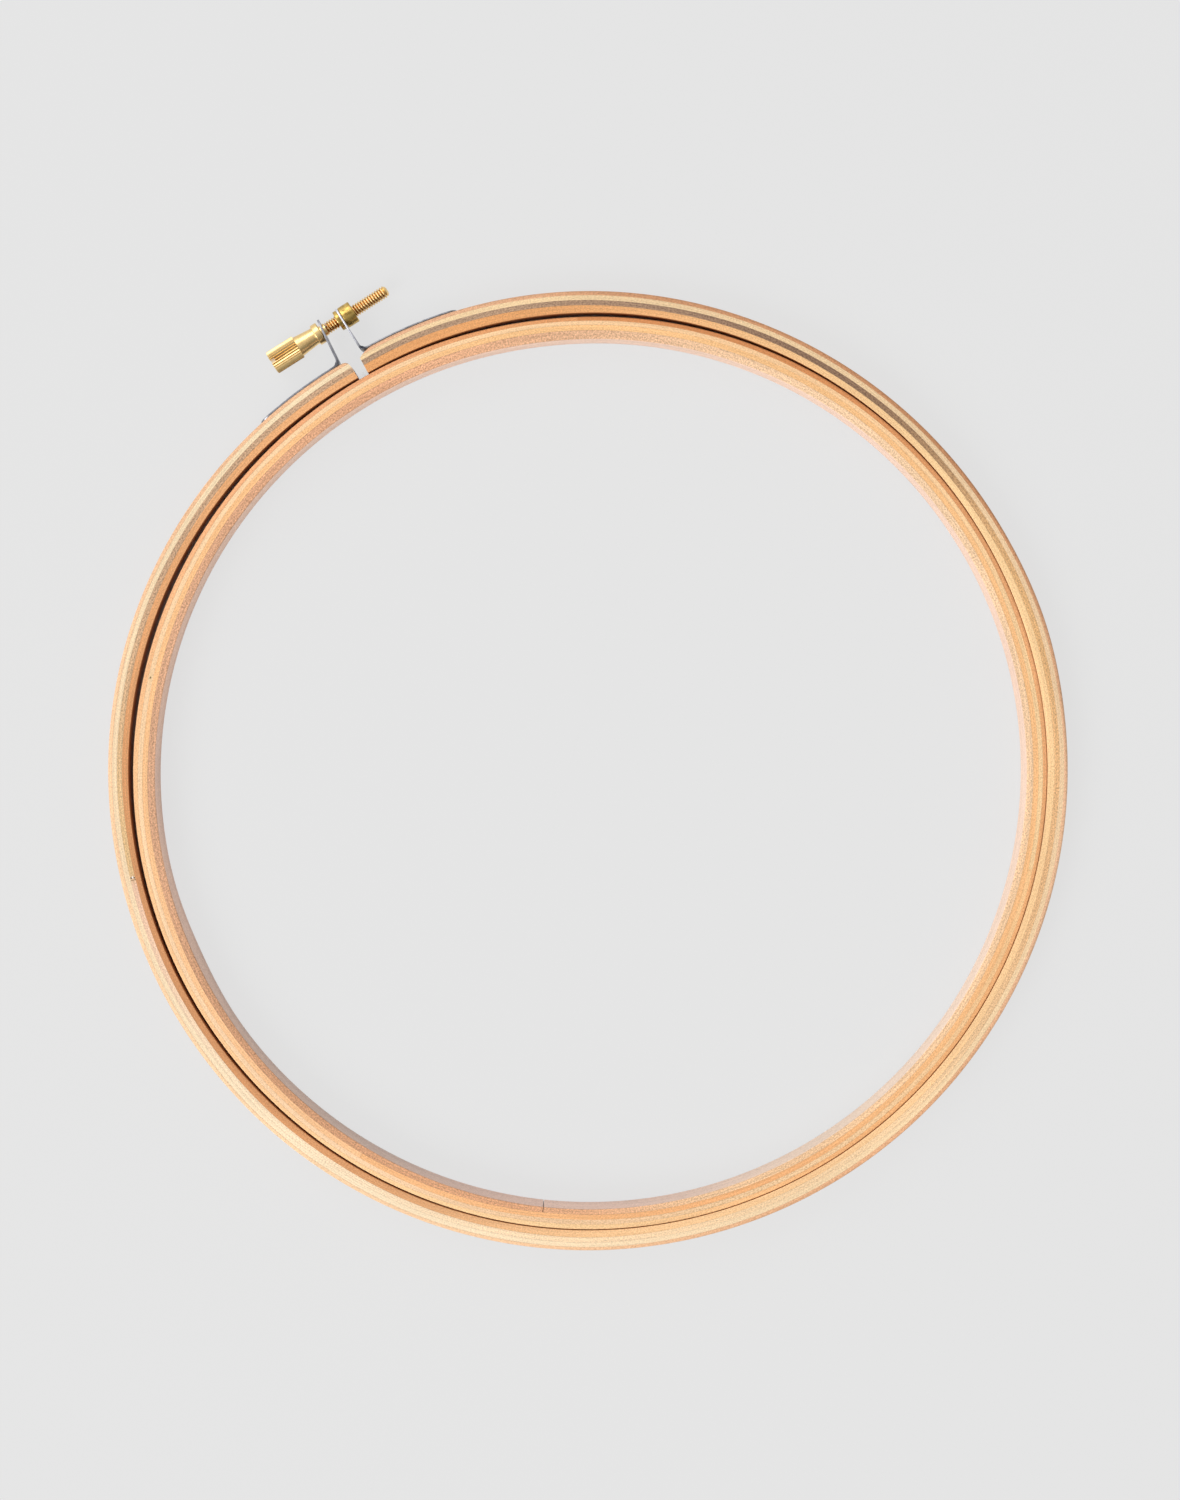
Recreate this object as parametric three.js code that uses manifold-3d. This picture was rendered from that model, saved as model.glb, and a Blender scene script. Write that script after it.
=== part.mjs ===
// A round wooden embroidery hoop, lying flat. The inner ring is four bent strips of wood glued
// into a closed ring. The outer ring is four more, with a split at +Y, where two bent steel
// brackets and a brass screw draw its ends together. Millimetres, +Z up. The origin is below the
// middle of the whole hoop, on the surface that it lies on.

import * as THREE from 'three';
import { mergeVertices } from 'three/addons/utils/BufferGeometryUtils.js';
import Module from 'manifold-3d';

// Both rings
const RING_DEPTH = 10;
const OUTER_RADIUS = 130;
const PLY_COUNT = 4;
const PLY_THICK = 1.4;
const GLUE_LINE = 0.05;
const BUTT_GAP = 0.12;
const EDGE_ROUND = 1.0;
const EDGE_EASE = 0.25;
const LEAST_FLAT = 0.1;
const RING_STEPS = 96;

// The inner ring lies a little off centre in the outer ring, towards the side away from the screw
const RING_CLEAR = 0.98;
const INNER_SHIFT_X = 0.3;
const INNER_SHIFT_Y = -0.85;

// The outer ring's split, and the stretch on both sides of it that the screw pulls flatter
const SPLIT_WIDTH = 3.25;
const SPLIT_CORNER = 0.9;
const FLAT_DEPTH = 1.35;
const FLAT_SPAN = THREE.MathUtils.degToRad(30);

// The outer ring is cut opposite the split too, where the wood's bending is gathered in one hinge
const FLEX_GAP = 0.3;

// Where each strip's two ends meet, as angles about the ring's centre from +X
const OUTER_BUTT_PLY = 3;
const OUTER_BUTT_ANGLE = THREE.MathUtils.degToRad(163.9);
const INNER_BUTT_ANGLES = [62, 318, 209.4, 234.2].map(THREE.MathUtils.degToRad);

// The clamp screw. Places along it are measured from above the middle of the split, towards its tip
const SCREW_HEIGHT = 11.2;
const SCREW_TILT = THREE.MathUtils.degToRad(2.8);
const THREAD_RADIUS = 1.73;
const THREAD_PITCH = 0.77;
const THREAD_CUT = 0.42;
const THREAD_SIDES = 12;
const KNOB_RADIUS = 3.3;
const KNOB_LENGTH = 8.4;
const KNOB_RIDGES = 26;
const KNOB_CHAMFER = 0.47;
const KNOB_EASE = 0.1;
const RIDGE_CUT = 0.32;
const SLOT_WIDTH = 1.0;
const SLOT_CUT = 1.3;
const CONE_LENGTH = 5.6;
const CONE_END_RADIUS = 2.35;
const COLLAR_RADIUS = 3.0;
const COLLAR_LENGTH = 1.8;
const COLLAR_EASE = 0.2;
const COLLAR_FACE = -4.2;
const SCREW_TIP = 17.2;
const TIP_ROUND = 1.3;
const TURNED_SIDES = 32;

// Parts of the screw run this far into each other before they are joined
const SCREW_LAP = 1.0;

// The nut, riveted into its bracket: a flange, a neck through the ear and a round body. Its bore
// leaves the screw room to lean as the split opens
const NUT_FLANGE_RADIUS = 2.85;
const NUT_FLANGE_LENGTH = 1.0;
const NUT_FLANGE_EASE = 0.15;
const NUT_NECK_RADIUS = 2.4;
const NUT_BODY_RADIUS = 3.1;
const NUT_BODY_LENGTH = 3.5;
const NUT_CHAMFER = 0.4;
const NUT_CLEAR = 0.3;
const RIVET_CLEAR = 0.06;

// The brackets: a foot bent to the ring, and an ear that stands up to hold the screw
const STRIP_THICK = 0.55;
const STRIP_WIDTH = 7;
const STRIP_CORNER = 3;
const FOOT_CLEAR = 0.1;
const BEND_REACH = 1.2;
const EAR_TOP = 3.2;
const EAR_HOLE_CLEAR = 0.25;
const EAR_DRILL_REACH = 8;
const FREE_EAR_PLACE = -3.5;
const FREE_EAR_LEAN = THREE.MathUtils.degToRad(3.4);
const NUT_EAR_PLACE = 2.55;
const FREE_FOOT_END = THREE.MathUtils.degToRad(13.6);
const NUT_FOOT_END = THREE.MathUtils.degToRad(13.7);

// The nails through each foot, placed from its two ends
const NAIL_HEAD_RADIUS = 1.1;
const NAIL_HEAD_TOP_RADIUS = 0.6;
const NAIL_HEAD_EDGE = 0.2;
const NAIL_HEAD_HEIGHT = 0.4;
const NAIL_HEAD_GAP = 0.03;
const NAIL_RADIUS = 0.5;
const NAIL_IN_WOOD = 3.6;
const NAIL_POINT = 1.0;
const NAIL_POINT_RADIUS = 0.1;
const NAIL_CLEAR = 0.06;
const NAIL_DRILL_REACH = 4;
const NAIL_FROM_EAR = 9;
const NAIL_FROM_END = 3;
const NAIL_SIDES = 12;

const WOOD_OUTER = [0xc98f66, 0xe8c794, 0xb59f8f, 0xe0a26b];
const WOOD_INNER = [0xd9976a, 0xebbf94, 0xe3a878, 0xc99a80];
const ZINC = 0x9aa0aa;
const BRASS = 0xd8a748;

const HALF_TURN = Math.PI;
const SPLIT_ANGLE = Math.PI / 2;
const STEP = (2 * Math.PI) / RING_STEPS;
const ON_GRID = 0.02 * STEP;
const MIDDLE_Z = RING_DEPTH / 2;
const SCREW_Y = OUTER_RADIUS - FLAT_DEPTH + SCREW_HEIGHT;
const wasm = await Module();
wasm.setup();

// Solids

// A closed geometry with shared corners, no empty triangles, and its faces pointing out
function weld(geometry) {
  const plain = geometry.clone();
  for (const name of Object.keys(plain.attributes)) {
    if (name !== 'position') plain.deleteAttribute(name);
  }
  const merged = mergeVertices(plain, 1e-4);
  const corners = merged.index.array;
  const kept = [];
  for (let i = 0; i < corners.length; i += 3) {
    const [a, b, c] = [corners[i], corners[i + 1], corners[i + 2]];
    if (a !== b && b !== c && c !== a) kept.push(a, b, c);
  }
  const place = merged.attributes.position;
  const at = [0, 1, 2].map(() => new THREE.Vector3());
  let volume = 0;
  for (let i = 0; i < kept.length; i += 3) {
    at.forEach((corner, n) => corner.fromBufferAttribute(place, kept[i + n]));
    volume += at[0].dot(at[1].clone().cross(at[2]));
  }
  if (volume < 0) kept.reverse();
  merged.setIndex(kept);
  return merged;
}

function toManifold(geometry) {
  const welded = weld(geometry);
  return new wasm.Manifold(new wasm.Mesh({
    numProp: 3,
    vertProperties: new Float32Array(welded.attributes.position.array),
    triVerts: new Uint32Array(welded.index.array),
  }));
}

function toGeometry(solid) {
  const mesh = solid.getMesh();
  const places = new Float32Array(mesh.numVert * 3);
  for (let i = 0; i < mesh.numVert; i += 1) {
    for (let n = 0; n < 3; n += 1) {
      places[3 * i + n] = mesh.vertProperties[mesh.numProp * i + n];
    }
  }
  const geometry = new THREE.BufferGeometry();
  geometry.setAttribute('position', new THREE.BufferAttribute(places, 3));
  geometry.setIndex(Array.from(mesh.triVerts));
  return geometry;
}

// A solid through a row of sections, each a list of points in the same order
function loft(sections) {
  const count = sections[0].length;
  const corners = [];
  for (let s = 0; s + 1 < sections.length; s += 1) {
    for (let n = 0; n < count; n += 1) {
      const [a, b] = [s * count + n, s * count + ((n + 1) % count)];
      corners.push(a, b, b + count, a, b + count, a + count);
    }
  }
  const last = (sections.length - 1) * count;
  for (let n = 1; n + 1 < count; n += 1) {
    corners.push(0, n + 1, n, last, last + n, last + n + 1);
  }
  const geometry = new THREE.BufferGeometry();
  geometry.setAttribute('position', new THREE.Float32BufferAttribute(sections.flat(2), 3));
  geometry.setIndex(corners);
  return weld(geometry);
}

// A turned solid about X, from [place along X, radius] points that close on the axis or the start
function turned(profile, sides) {
  const points = profile.map(([along, radius]) => new THREE.Vector2(radius, along));
  return weld(new THREE.LatheGeometry(points, sides).rotateZ(-Math.PI / 2));
}

function rod(radius, start, end, sides) {
  return turned([[start, 0], [start, radius], [end, radius], [end, 0]], sides);
}

function piece(name, geometry, color, metalness, roughness) {
  const material = new THREE.MeshStandardMaterial({ color, metalness, roughness });
  const faceted = geometry.toNonIndexed();
  faceted.computeVertexNormals();
  const mesh = new THREE.Mesh(faceted, material);
  mesh.name = name;
  return mesh;
}

// Ring strips

// How far the outer ring is drawn in at an angle, most at the split
function flatDrop(angle) {
  const away = Math.abs(Math.atan2(Math.sin(angle - SPLIT_ANGLE), Math.cos(angle - SPLIT_ANGLE)));
  return away < FLAT_SPAN ? FLAT_DEPTH * 0.5 * (1 + Math.cos((Math.PI * away) / FLAT_SPAN)) : 0;
}

// A strip's section at one station. `at` turns a radius into a place, and `drop` lowers the outside
function stripSection(at, inner, outer, round, ease, drop = 0) {
  const top = outer - drop;
  const cut = Math.min(round, top - inner - LEAST_FLAT);
  const bow = cut * (1 - Math.SQRT1_2);
  const points = [[inner + ease, 0], [top - cut, 0]];
  if (cut > 0) {
    points.push([top - bow, bow], [top, cut]);
    points.push([top, RING_DEPTH - cut], [top - bow, RING_DEPTH - bow]);
  }
  points.push([top - cut, RING_DEPTH], [inner + ease, RING_DEPTH]);
  if (ease > 0) points.push([inner, RING_DEPTH - ease], [inner, ease]);
  return points.map(([radius, z]) => [...at(radius), z]);
}

// A radius's place at an angle, on the flat between the two nearest stations of the ring's grid
const atAngle = (angle) => (radius) => {
  const low = Math.floor(angle / STEP + 1e-6) * STEP;
  const share = (angle - low) / STEP;
  const mix = (of) => radius * ((1 - share) * of(low) + share * of(low + STEP));
  return [mix(Math.cos), mix(Math.sin)];
};
const atCut = (x, side) => (radius) => [x, side * Math.sqrt(radius * radius - x * x)];

// The grid's angles between two others, which are left out
function gridAngles(from, to) {
  const angles = [];
  for (let n = Math.ceil((from + ON_GRID) / STEP); n * STEP < to - ON_GRID; n += 1) {
    angles.push(n * STEP);
  }
  return angles;
}

function plyRadii(outerRadius, ply) {
  const half = GLUE_LINE / 2;
  return {
    outer: outerRadius - (ply - 1) * PLY_THICK - (ply > 1 ? half : 0),
    inner: outerRadius - ply * PLY_THICK + (ply < PLY_COUNT ? half : 0),
    round: ply === 1 ? EDGE_ROUND : 0,
    ease: ply === PLY_COUNT ? EDGE_EASE : 0,
  };
}

// Half of one outer strip, from the split to the back. hand is 1 on +X and -1 on -X
function outerHalfPly(ply, hand, from = 0, to = HALF_TURN) {
  const { outer, inner, round, ease } = plyRadii(OUTER_RADIUS, ply);
  const angleOf = (away) => SPLIT_ANGLE - hand * away;
  const section = (away, at, drop = 0) => {
    const lowered = flatDrop(angleOf(away));
    return stripSection((radius) => at(radius - lowered), inner, outer, round, ease, drop);
  };
  const sections = [];
  let start = from;
  if (from === 0) {
    const turns = ply === 1 ? [0, 30, 60, 90].map(THREE.MathUtils.degToRad) : [0];
    for (const turn of turns) {
      const along = SPLIT_WIDTH / 2 + (ply === 1 ? SPLIT_CORNER * (1 - Math.cos(turn)) : 0);
      const drop = ply === 1 ? SPLIT_CORNER * (1 - Math.sin(turn)) : 0;
      sections.push(section(along / outer, atCut(hand * along, 1), drop));
    }
    start = (SPLIT_WIDTH / 2 + SPLIT_CORNER) / outer;
  } else {
    sections.push(section(from, atAngle(angleOf(from))));
  }
  for (const away of gridAngles(start, to)) sections.push(section(away, atAngle(angleOf(away))));
  const back = to === HALF_TURN ? atCut((hand * FLEX_GAP) / 2, -1) : atAngle(angleOf(to));
  sections.push(section(to, back));
  return loft(sections);
}

// One inner strip, bent right round with its two ends meeting at a butt joint
function innerPly(ply) {
  const { outer, inner, round, ease } = plyRadii(OUTER_RADIUS - PLY_COUNT * PLY_THICK - RING_CLEAR, ply);
  const half = BUTT_GAP / 2 / outer;
  const joint = INNER_BUTT_ANGLES[ply - 1];
  const [from, to] = [joint + half, joint + 2 * Math.PI - half];
  const angles = [from, ...gridAngles(from, to), to];
  return loft(angles.map((angle) => stripSection(atAngle(angle), inner, outer, round, ease)));
}

// Brackets

// A place on the outer ring's faceted outside, or proud of it
function ringPoint(hand, away, proud) {
  const low = Math.floor(away / STEP) * STEP;
  const [a, b] = [low, low + STEP].map((turn) => {
    const angle = SPLIT_ANGLE - hand * turn;
    return new THREE.Vector2(...atAngle(angle)(OUTER_RADIUS - flatDrop(angle) + proud));
  });
  return a.lerp(b, (away - low) / STEP);
}

const screwPoint = (along) => new THREE.Vector2(
  along * Math.cos(SCREW_TILT), SCREW_Y + along * Math.sin(SCREW_TILT));

// The bracket's middle line from the foot's end to the ear's top, with its half width all along it
function bracketPath(hand, earPlace, lean, footEnd) {
  const eye = screwPoint(earPlace);
  const up = new THREE.Vector2(Math.sin(lean), Math.cos(lean));
  const footPoint = (away) => ringPoint(hand, away, FOOT_CLEAR + STRIP_THICK / 2);
  const corner = footPoint(0);
  let cornerAway = 0;
  for (let n = 0; n < 6; n += 1) {
    corner.x = eye.x + ((corner.y - eye.y) * up.x) / up.y;
    cornerAway = Math.abs(corner.angle() - SPLIT_ANGLE);
    corner.y = footPoint(cornerAway).y;
  }
  const footStop = cornerAway + BEND_REACH / OUTER_RADIUS;
  const roundings = [0, 30, 60, 90].map(THREE.MathUtils.degToRad);
  const rounded = (turn) => ({
    along: STRIP_CORNER * (1 - Math.cos(turn)),
    half: STRIP_WIDTH / 2 - STRIP_CORNER * (1 - Math.sin(turn)),
  });
  const path = [];
  for (const turn of roundings) {
    const { along, half } = rounded(turn);
    path.push({ at: footPoint(footEnd - along / OUTER_RADIUS), half });
  }
  const wide = STRIP_WIDTH / 2;
  const plainEnd = footEnd - STRIP_CORNER / OUTER_RADIUS;
  for (const away of gridAngles(footStop, plainEnd).reverse()) {
    path.push({ at: footPoint(away), half: wide });
  }
  const bend = new THREE.QuadraticBezierCurve(
    footPoint(footStop), corner, corner.clone().addScaledVector(up, BEND_REACH));
  for (const at of bend.getPoints(5)) path.push({ at, half: wide });
  for (const turn of [...roundings].reverse()) {
    const { along, half } = rounded(turn);
    path.push({ at: eye.clone().addScaledVector(up, EAR_TOP - along), half });
  }
  return path;
}

// A strip of the brackets' thickness along a path, with square sections mitred at each corner
function bentBracket(path) {
  const sections = path.map(({ at, half }, n) => {
    const before = path[Math.max(n - 1, 0)].at;
    const after = path[Math.min(n + 1, path.length - 1)].at;
    const into = n > 0 ? at.clone().sub(before).normalize() : after.clone().sub(at).normalize();
    const out = n + 1 < path.length ? after.clone().sub(at).normalize() : into;
    const along = into.clone().add(out).normalize();
    const side = new THREE.Vector2(-along.y, along.x);
    side.multiplyScalar(STRIP_THICK / 2 / Math.max(along.dot(into), 0.5));
    const [left, right] = [at.clone().add(side), at.clone().sub(side)];
    return [
      [left.x, left.y, MIDDLE_Z - half], [right.x, right.y, MIDDLE_Z - half],
      [right.x, right.y, MIDDLE_Z + half], [left.x, left.y, MIDDLE_Z + half],
    ];
  });
  return loft(sections);
}

function screwHole(radius) {
  return toManifold(rod(radius, -EAR_DRILL_REACH, EAR_DRILL_REACH, TURNED_SIDES))
    .transform(new THREE.Matrix4().makeRotationZ(SCREW_TILT).elements)
    .translate([0, SCREW_Y, MIDDLE_Z]);
}

// Nails

// The turned group that stands on a flat of the foot, with its X pointing out of the ring
function nailPlace(hand, away) {
  const at = ringPoint(hand, away, 0);
  const low = Math.floor(away / STEP) * STEP;
  const along = ringPoint(hand, low + STEP * 0.9, 0).sub(ringPoint(hand, low, 0)).normalize();
  const facing = Math.atan2(hand * along.x, -hand * along.y);
  const place = new THREE.Object3D();
  place.position.set(at.x, at.y, MIDDLE_Z);
  place.rotation.z = facing;
  place.updateMatrix();
  return place;
}

function nailGeometry() {
  const seat = FOOT_CLEAR + STRIP_THICK + NAIL_HEAD_GAP;
  const top = seat + NAIL_HEAD_HEIGHT;
  return turned([
    [-NAIL_IN_WOOD, 0], [-NAIL_IN_WOOD, NAIL_POINT_RADIUS], [-NAIL_IN_WOOD + NAIL_POINT, NAIL_RADIUS],
    [seat, NAIL_RADIUS], [seat, NAIL_HEAD_RADIUS], [seat + NAIL_HEAD_EDGE, NAIL_HEAD_RADIUS],
    [top, NAIL_HEAD_TOP_RADIUS], [top, 0],
  ], NAIL_SIDES);
}

function nailHole(place) {
  const deepest = -NAIL_IN_WOOD - NAIL_CLEAR;
  return toManifold(rod(NAIL_RADIUS + NAIL_CLEAR, deepest, NAIL_DRILL_REACH, NAIL_SIDES))
    .transform(place.matrix.elements);
}

// Brass

// A helical thread about X. Its crests and roots are two lines that climb one pitch in each turn
function threadSolid(start, end) {
  const sections = Math.ceil(((end - start) / THREAD_PITCH) * THREAD_SIDES) + THREAD_SIDES;
  const places = [];
  for (let n = 0; n <= sections; n += 1) {
    const turn = (n / THREAD_SIDES) * 2 * Math.PI;
    const along = start - THREAD_PITCH + (n / THREAD_SIDES) * THREAD_PITCH;
    for (const [radius, ahead] of [[THREAD_RADIUS, 0], [THREAD_RADIUS - THREAD_CUT, 0.5]]) {
      places.push([along + ahead * THREAD_PITCH, radius * Math.cos(turn), radius * Math.sin(turn)]);
    }
  }
  const low = places.push([start - THREAD_PITCH, 0, 0]) - 1;
  const high = places.push([end + THREAD_PITCH, 0, 0]) - 1;
  const crest = (n) => 2 * n;
  const root = (n) => 2 * n + 1;
  const corners = [];
  for (let n = 0; n < sections; n += 1) {
    corners.push(crest(n), crest(n + 1), root(n + 1), crest(n), root(n + 1), root(n));
    if (n + THREAD_SIDES < sections) {
      const next = n + THREAD_SIDES;
      corners.push(root(n), root(n + 1), crest(next + 1), root(n), crest(next + 1), crest(next));
    }
  }
  for (let n = 0; n < THREAD_SIDES; n += 1) corners.push(low, crest(n + 1), crest(n));
  corners.push(low, root(0), crest(THREAD_SIDES), low, crest(0), root(0));
  const last = sections - THREAD_SIDES;
  for (let n = last; n < sections; n += 1) corners.push(high, root(n), root(n + 1));
  corners.push(high, root(sections), crest(sections), high, crest(sections), root(last));
  const geometry = new THREE.BufferGeometry();
  geometry.setAttribute('position', new THREE.Float32BufferAttribute(places.flat(), 3));
  geometry.setIndex(corners);
  return weld(geometry);
}

function clampScrew() {
  const shoulder = COLLAR_FACE - COLLAR_LENGTH;
  const knobFace = shoulder - CONE_LENGTH;
  const headEnd = knobFace - KNOB_LENGTH;

  // The knob's toothed outline runs along X, and a turned envelope takes its end corners off
  const outline = new THREE.Shape();
  for (let n = 0; n < 2 * KNOB_RIDGES; n += 1) {
    const angle = (n / KNOB_RIDGES) * Math.PI;
    const radius = n % 2 ? KNOB_RADIUS - RIDGE_CUT : KNOB_RADIUS;
    outline[n ? 'lineTo' : 'moveTo'](radius * Math.cos(angle), radius * Math.sin(angle));
  }
  const ridged = new THREE.ExtrudeGeometry(outline, { depth: KNOB_LENGTH, bevelEnabled: false });
  ridged.rotateY(Math.PI / 2).translate(headEnd, 0, 0);
  const clear = KNOB_RADIUS / Math.cos(Math.PI / TURNED_SIDES);
  const envelope = turned([
    [headEnd, 0], [headEnd, clear - KNOB_CHAMFER], [headEnd + KNOB_CHAMFER, clear],
    [knobFace - KNOB_EASE, clear], [knobFace, clear - KNOB_EASE], [knobFace, 0],
  ], TURNED_SIDES);
  const knob = toManifold(ridged).intersect(toManifold(envelope));

  const neck = turned([
    [knobFace - SCREW_LAP, 0], [knobFace - SCREW_LAP, CONE_END_RADIUS],
    [knobFace, KNOB_RADIUS - RIDGE_CUT], [shoulder, CONE_END_RADIUS],
    [shoulder, COLLAR_RADIUS - COLLAR_EASE], [shoulder + COLLAR_EASE, COLLAR_RADIUS],
    [COLLAR_FACE - COLLAR_EASE, COLLAR_RADIUS], [COLLAR_FACE, COLLAR_RADIUS - COLLAR_EASE],
    [COLLAR_FACE, 0],
  ], TURNED_SIDES);

  const tip = [0, 30, 60, 90].map(THREE.MathUtils.degToRad).map((turn) => [
    SCREW_TIP - TIP_ROUND * (1 - Math.sin(turn)),
    THREAD_RADIUS - TIP_ROUND * (1 - Math.cos(turn)),
  ]);
  const shank = turned([
    [COLLAR_FACE - SCREW_LAP, 0], [COLLAR_FACE - SCREW_LAP, THREAD_RADIUS], ...tip,
    [SCREW_TIP, 0],
  ], THREAD_SIDES * 2);
  const thread = toManifold(threadSolid(COLLAR_FACE - THREAD_PITCH, SCREW_TIP + THREAD_PITCH));

  const slot = new THREE.BoxGeometry(SLOT_CUT * 2, SLOT_WIDTH, KNOB_RADIUS * 3);
  slot.translate(headEnd, 0, 0);
  return toGeometry(knob
    .add(toManifold(neck))
    .add(thread.intersect(toManifold(shank)))
    .subtract(toManifold(slot)));
}

// The nut is a tube: its profile runs along the outside and back through the bore
function nutGeometry() {
  const bore = THREAD_RADIUS + NUT_CLEAR;
  const half = STRIP_THICK / 2 + RIVET_CLEAR;
  const [inner, outer] = [NUT_EAR_PLACE - half, NUT_EAR_PLACE + half];
  const [start, end] = [inner - NUT_FLANGE_LENGTH, outer + NUT_BODY_LENGTH];
  return turned([
    [start, bore], [start, NUT_FLANGE_RADIUS - NUT_FLANGE_EASE],
    [start + NUT_FLANGE_EASE, NUT_FLANGE_RADIUS],
    [inner, NUT_FLANGE_RADIUS], [inner, NUT_NECK_RADIUS], [outer, NUT_NECK_RADIUS],
    [outer, NUT_BODY_RADIUS], [end - NUT_CHAMFER, NUT_BODY_RADIUS],
    [end, NUT_BODY_RADIUS - NUT_CHAMFER], [end, bore], [start, bore],
  ], TURNED_SIDES);
}

// The hoop

const sides = [
  {
    key: 'nut', hand: 1, ear: NUT_EAR_PLACE, lean: -SCREW_TILT, foot: NUT_FOOT_END,
    hole: NUT_NECK_RADIUS + RIVET_CLEAR,
  },
  {
    key: 'free', hand: -1, ear: FREE_EAR_PLACE, lean: FREE_EAR_LEAN, foot: FREE_FOOT_END,
    hole: THREAD_RADIUS + EAR_HOLE_CLEAR,
  },
];

const hoop = new THREE.Group();
const wood = (name, geometry, color) => piece(name, geometry, color, 0, 0.65);

for (const side of sides) {
  const nails = [NAIL_FROM_EAR / OUTER_RADIUS, side.foot - NAIL_FROM_END / OUTER_RADIUS]
    .map((away) => nailPlace(side.hand, away));
  const pierced = (geometry) => toGeometry(nails.reduce(
    (solid, place) => solid.subtract(nailHole(place)), toManifold(geometry)));

  for (let ply = 1; ply <= PLY_COUNT; ply += 1) {
    const name = `outer_ring_${side.key}_ply_${ply}`;
    const color = WOOD_OUTER[ply - 1];
    const jointed = side.hand < 0 && ply === OUTER_BUTT_PLY;
    const stop = OUTER_BUTT_ANGLE - SPLIT_ANGLE;
    const half = BUTT_GAP / 2 / OUTER_RADIUS;
    const first = outerHalfPly(ply, side.hand, 0, jointed ? stop - half : HALF_TURN);
    const reached = (ply - 1) * PLY_THICK < NAIL_IN_WOOD;
    hoop.add(wood(jointed ? `${name}_front` : name, reached ? pierced(first) : first, color));
    if (jointed) hoop.add(wood(`${name}_back`, outerHalfPly(ply, side.hand, stop + half), color));
  }

  const strip = bentBracket(bracketPath(side.hand, side.ear, side.lean, side.foot));
  const drilled = toManifold(pierced(strip)).subtract(screwHole(side.hole));
  hoop.add(piece(`${side.key}_bracket`, toGeometry(drilled), ZINC, 0.9, 0.45));

  nails.forEach((place, n) => {
    const nail = piece(`${side.key}_nail_${n + 1}`, nailGeometry(), ZINC, 0.9, 0.5);
    nail.position.copy(place.position);
    nail.rotation.copy(place.rotation);
    hoop.add(nail);
  });
}

const innerRing = new THREE.Group();
innerRing.position.set(INNER_SHIFT_X, INNER_SHIFT_Y, 0);
for (let ply = 1; ply <= PLY_COUNT; ply += 1) {
  innerRing.add(wood(`inner_ring_ply_${ply}`, innerPly(ply), WOOD_INNER[ply - 1]));
}
hoop.add(innerRing);

const clamp = new THREE.Group();
clamp.position.set(0, SCREW_Y, MIDDLE_Z);
clamp.rotation.z = SCREW_TILT;
clamp.add(piece('clamp_screw', clampScrew(), BRASS, 1, 0.3));
clamp.add(piece('clamp_nut', nutGeometry(), BRASS, 1, 0.35));
hoop.add(clamp);

// The middle of the whole hoop, brackets and screw included, comes over the origin
hoop.updateMatrixWorld(true);
const middle = new THREE.Box3().setFromObject(hoop).getCenter(new THREE.Vector3());
hoop.position.set(-middle.x, -middle.y, 0);

const root = new THREE.Group();
root.add(hoop);

export default root;
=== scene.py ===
import math

import bpy
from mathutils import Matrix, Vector


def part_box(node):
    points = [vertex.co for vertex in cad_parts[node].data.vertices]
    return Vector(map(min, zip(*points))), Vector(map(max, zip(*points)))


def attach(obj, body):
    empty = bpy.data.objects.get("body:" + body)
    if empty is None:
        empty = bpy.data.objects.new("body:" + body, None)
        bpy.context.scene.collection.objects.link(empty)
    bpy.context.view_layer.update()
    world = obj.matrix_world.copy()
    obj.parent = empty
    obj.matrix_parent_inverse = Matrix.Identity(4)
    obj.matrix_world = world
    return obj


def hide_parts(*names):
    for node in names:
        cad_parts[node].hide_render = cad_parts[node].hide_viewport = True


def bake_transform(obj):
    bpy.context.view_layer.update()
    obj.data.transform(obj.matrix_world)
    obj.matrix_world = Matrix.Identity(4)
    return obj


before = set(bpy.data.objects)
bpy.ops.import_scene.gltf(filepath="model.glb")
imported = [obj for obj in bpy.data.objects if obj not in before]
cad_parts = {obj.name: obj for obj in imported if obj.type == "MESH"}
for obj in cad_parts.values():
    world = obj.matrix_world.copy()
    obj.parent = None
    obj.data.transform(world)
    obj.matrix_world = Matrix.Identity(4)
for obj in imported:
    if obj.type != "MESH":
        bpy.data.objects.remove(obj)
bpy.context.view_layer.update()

# The outer ring: four strips of beech, bent and glued face to face, with one split where the screw
# draws its ends together. Each strip runs from one end all the way round to the other, except the
# third from outside, whose two lengths meet in a butt joint. Its outer edges are rounded over.
MM = 0.001
RING_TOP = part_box("outer_ring_nut_ply_1")[1].z
OUTER_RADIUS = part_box("outer_ring_nut_ply_1")[1].x
CENTRE = Vector((0.0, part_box("outer_ring_nut_ply_1")[0].y + OUTER_RADIUS, 0.0))
OUTER_PLIES = (1.18 * MM, 1.27 * MM, 1.41 * MM, 1.74 * MM)
BUTTED_PLY = 3
BUTT_TURN = 73.9
BUTT_HALF_TURN = 0.03
GLUE_GAP = 0.01 * MM
LEAST_THICK = 0.05 * MM
EDGE_ROUND = 0.95 * MM
EDGE_EASE = 0.22 * MM
EDGE_STEPS = 5
SPLIT_HALF = 1.625 * MM

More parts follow.
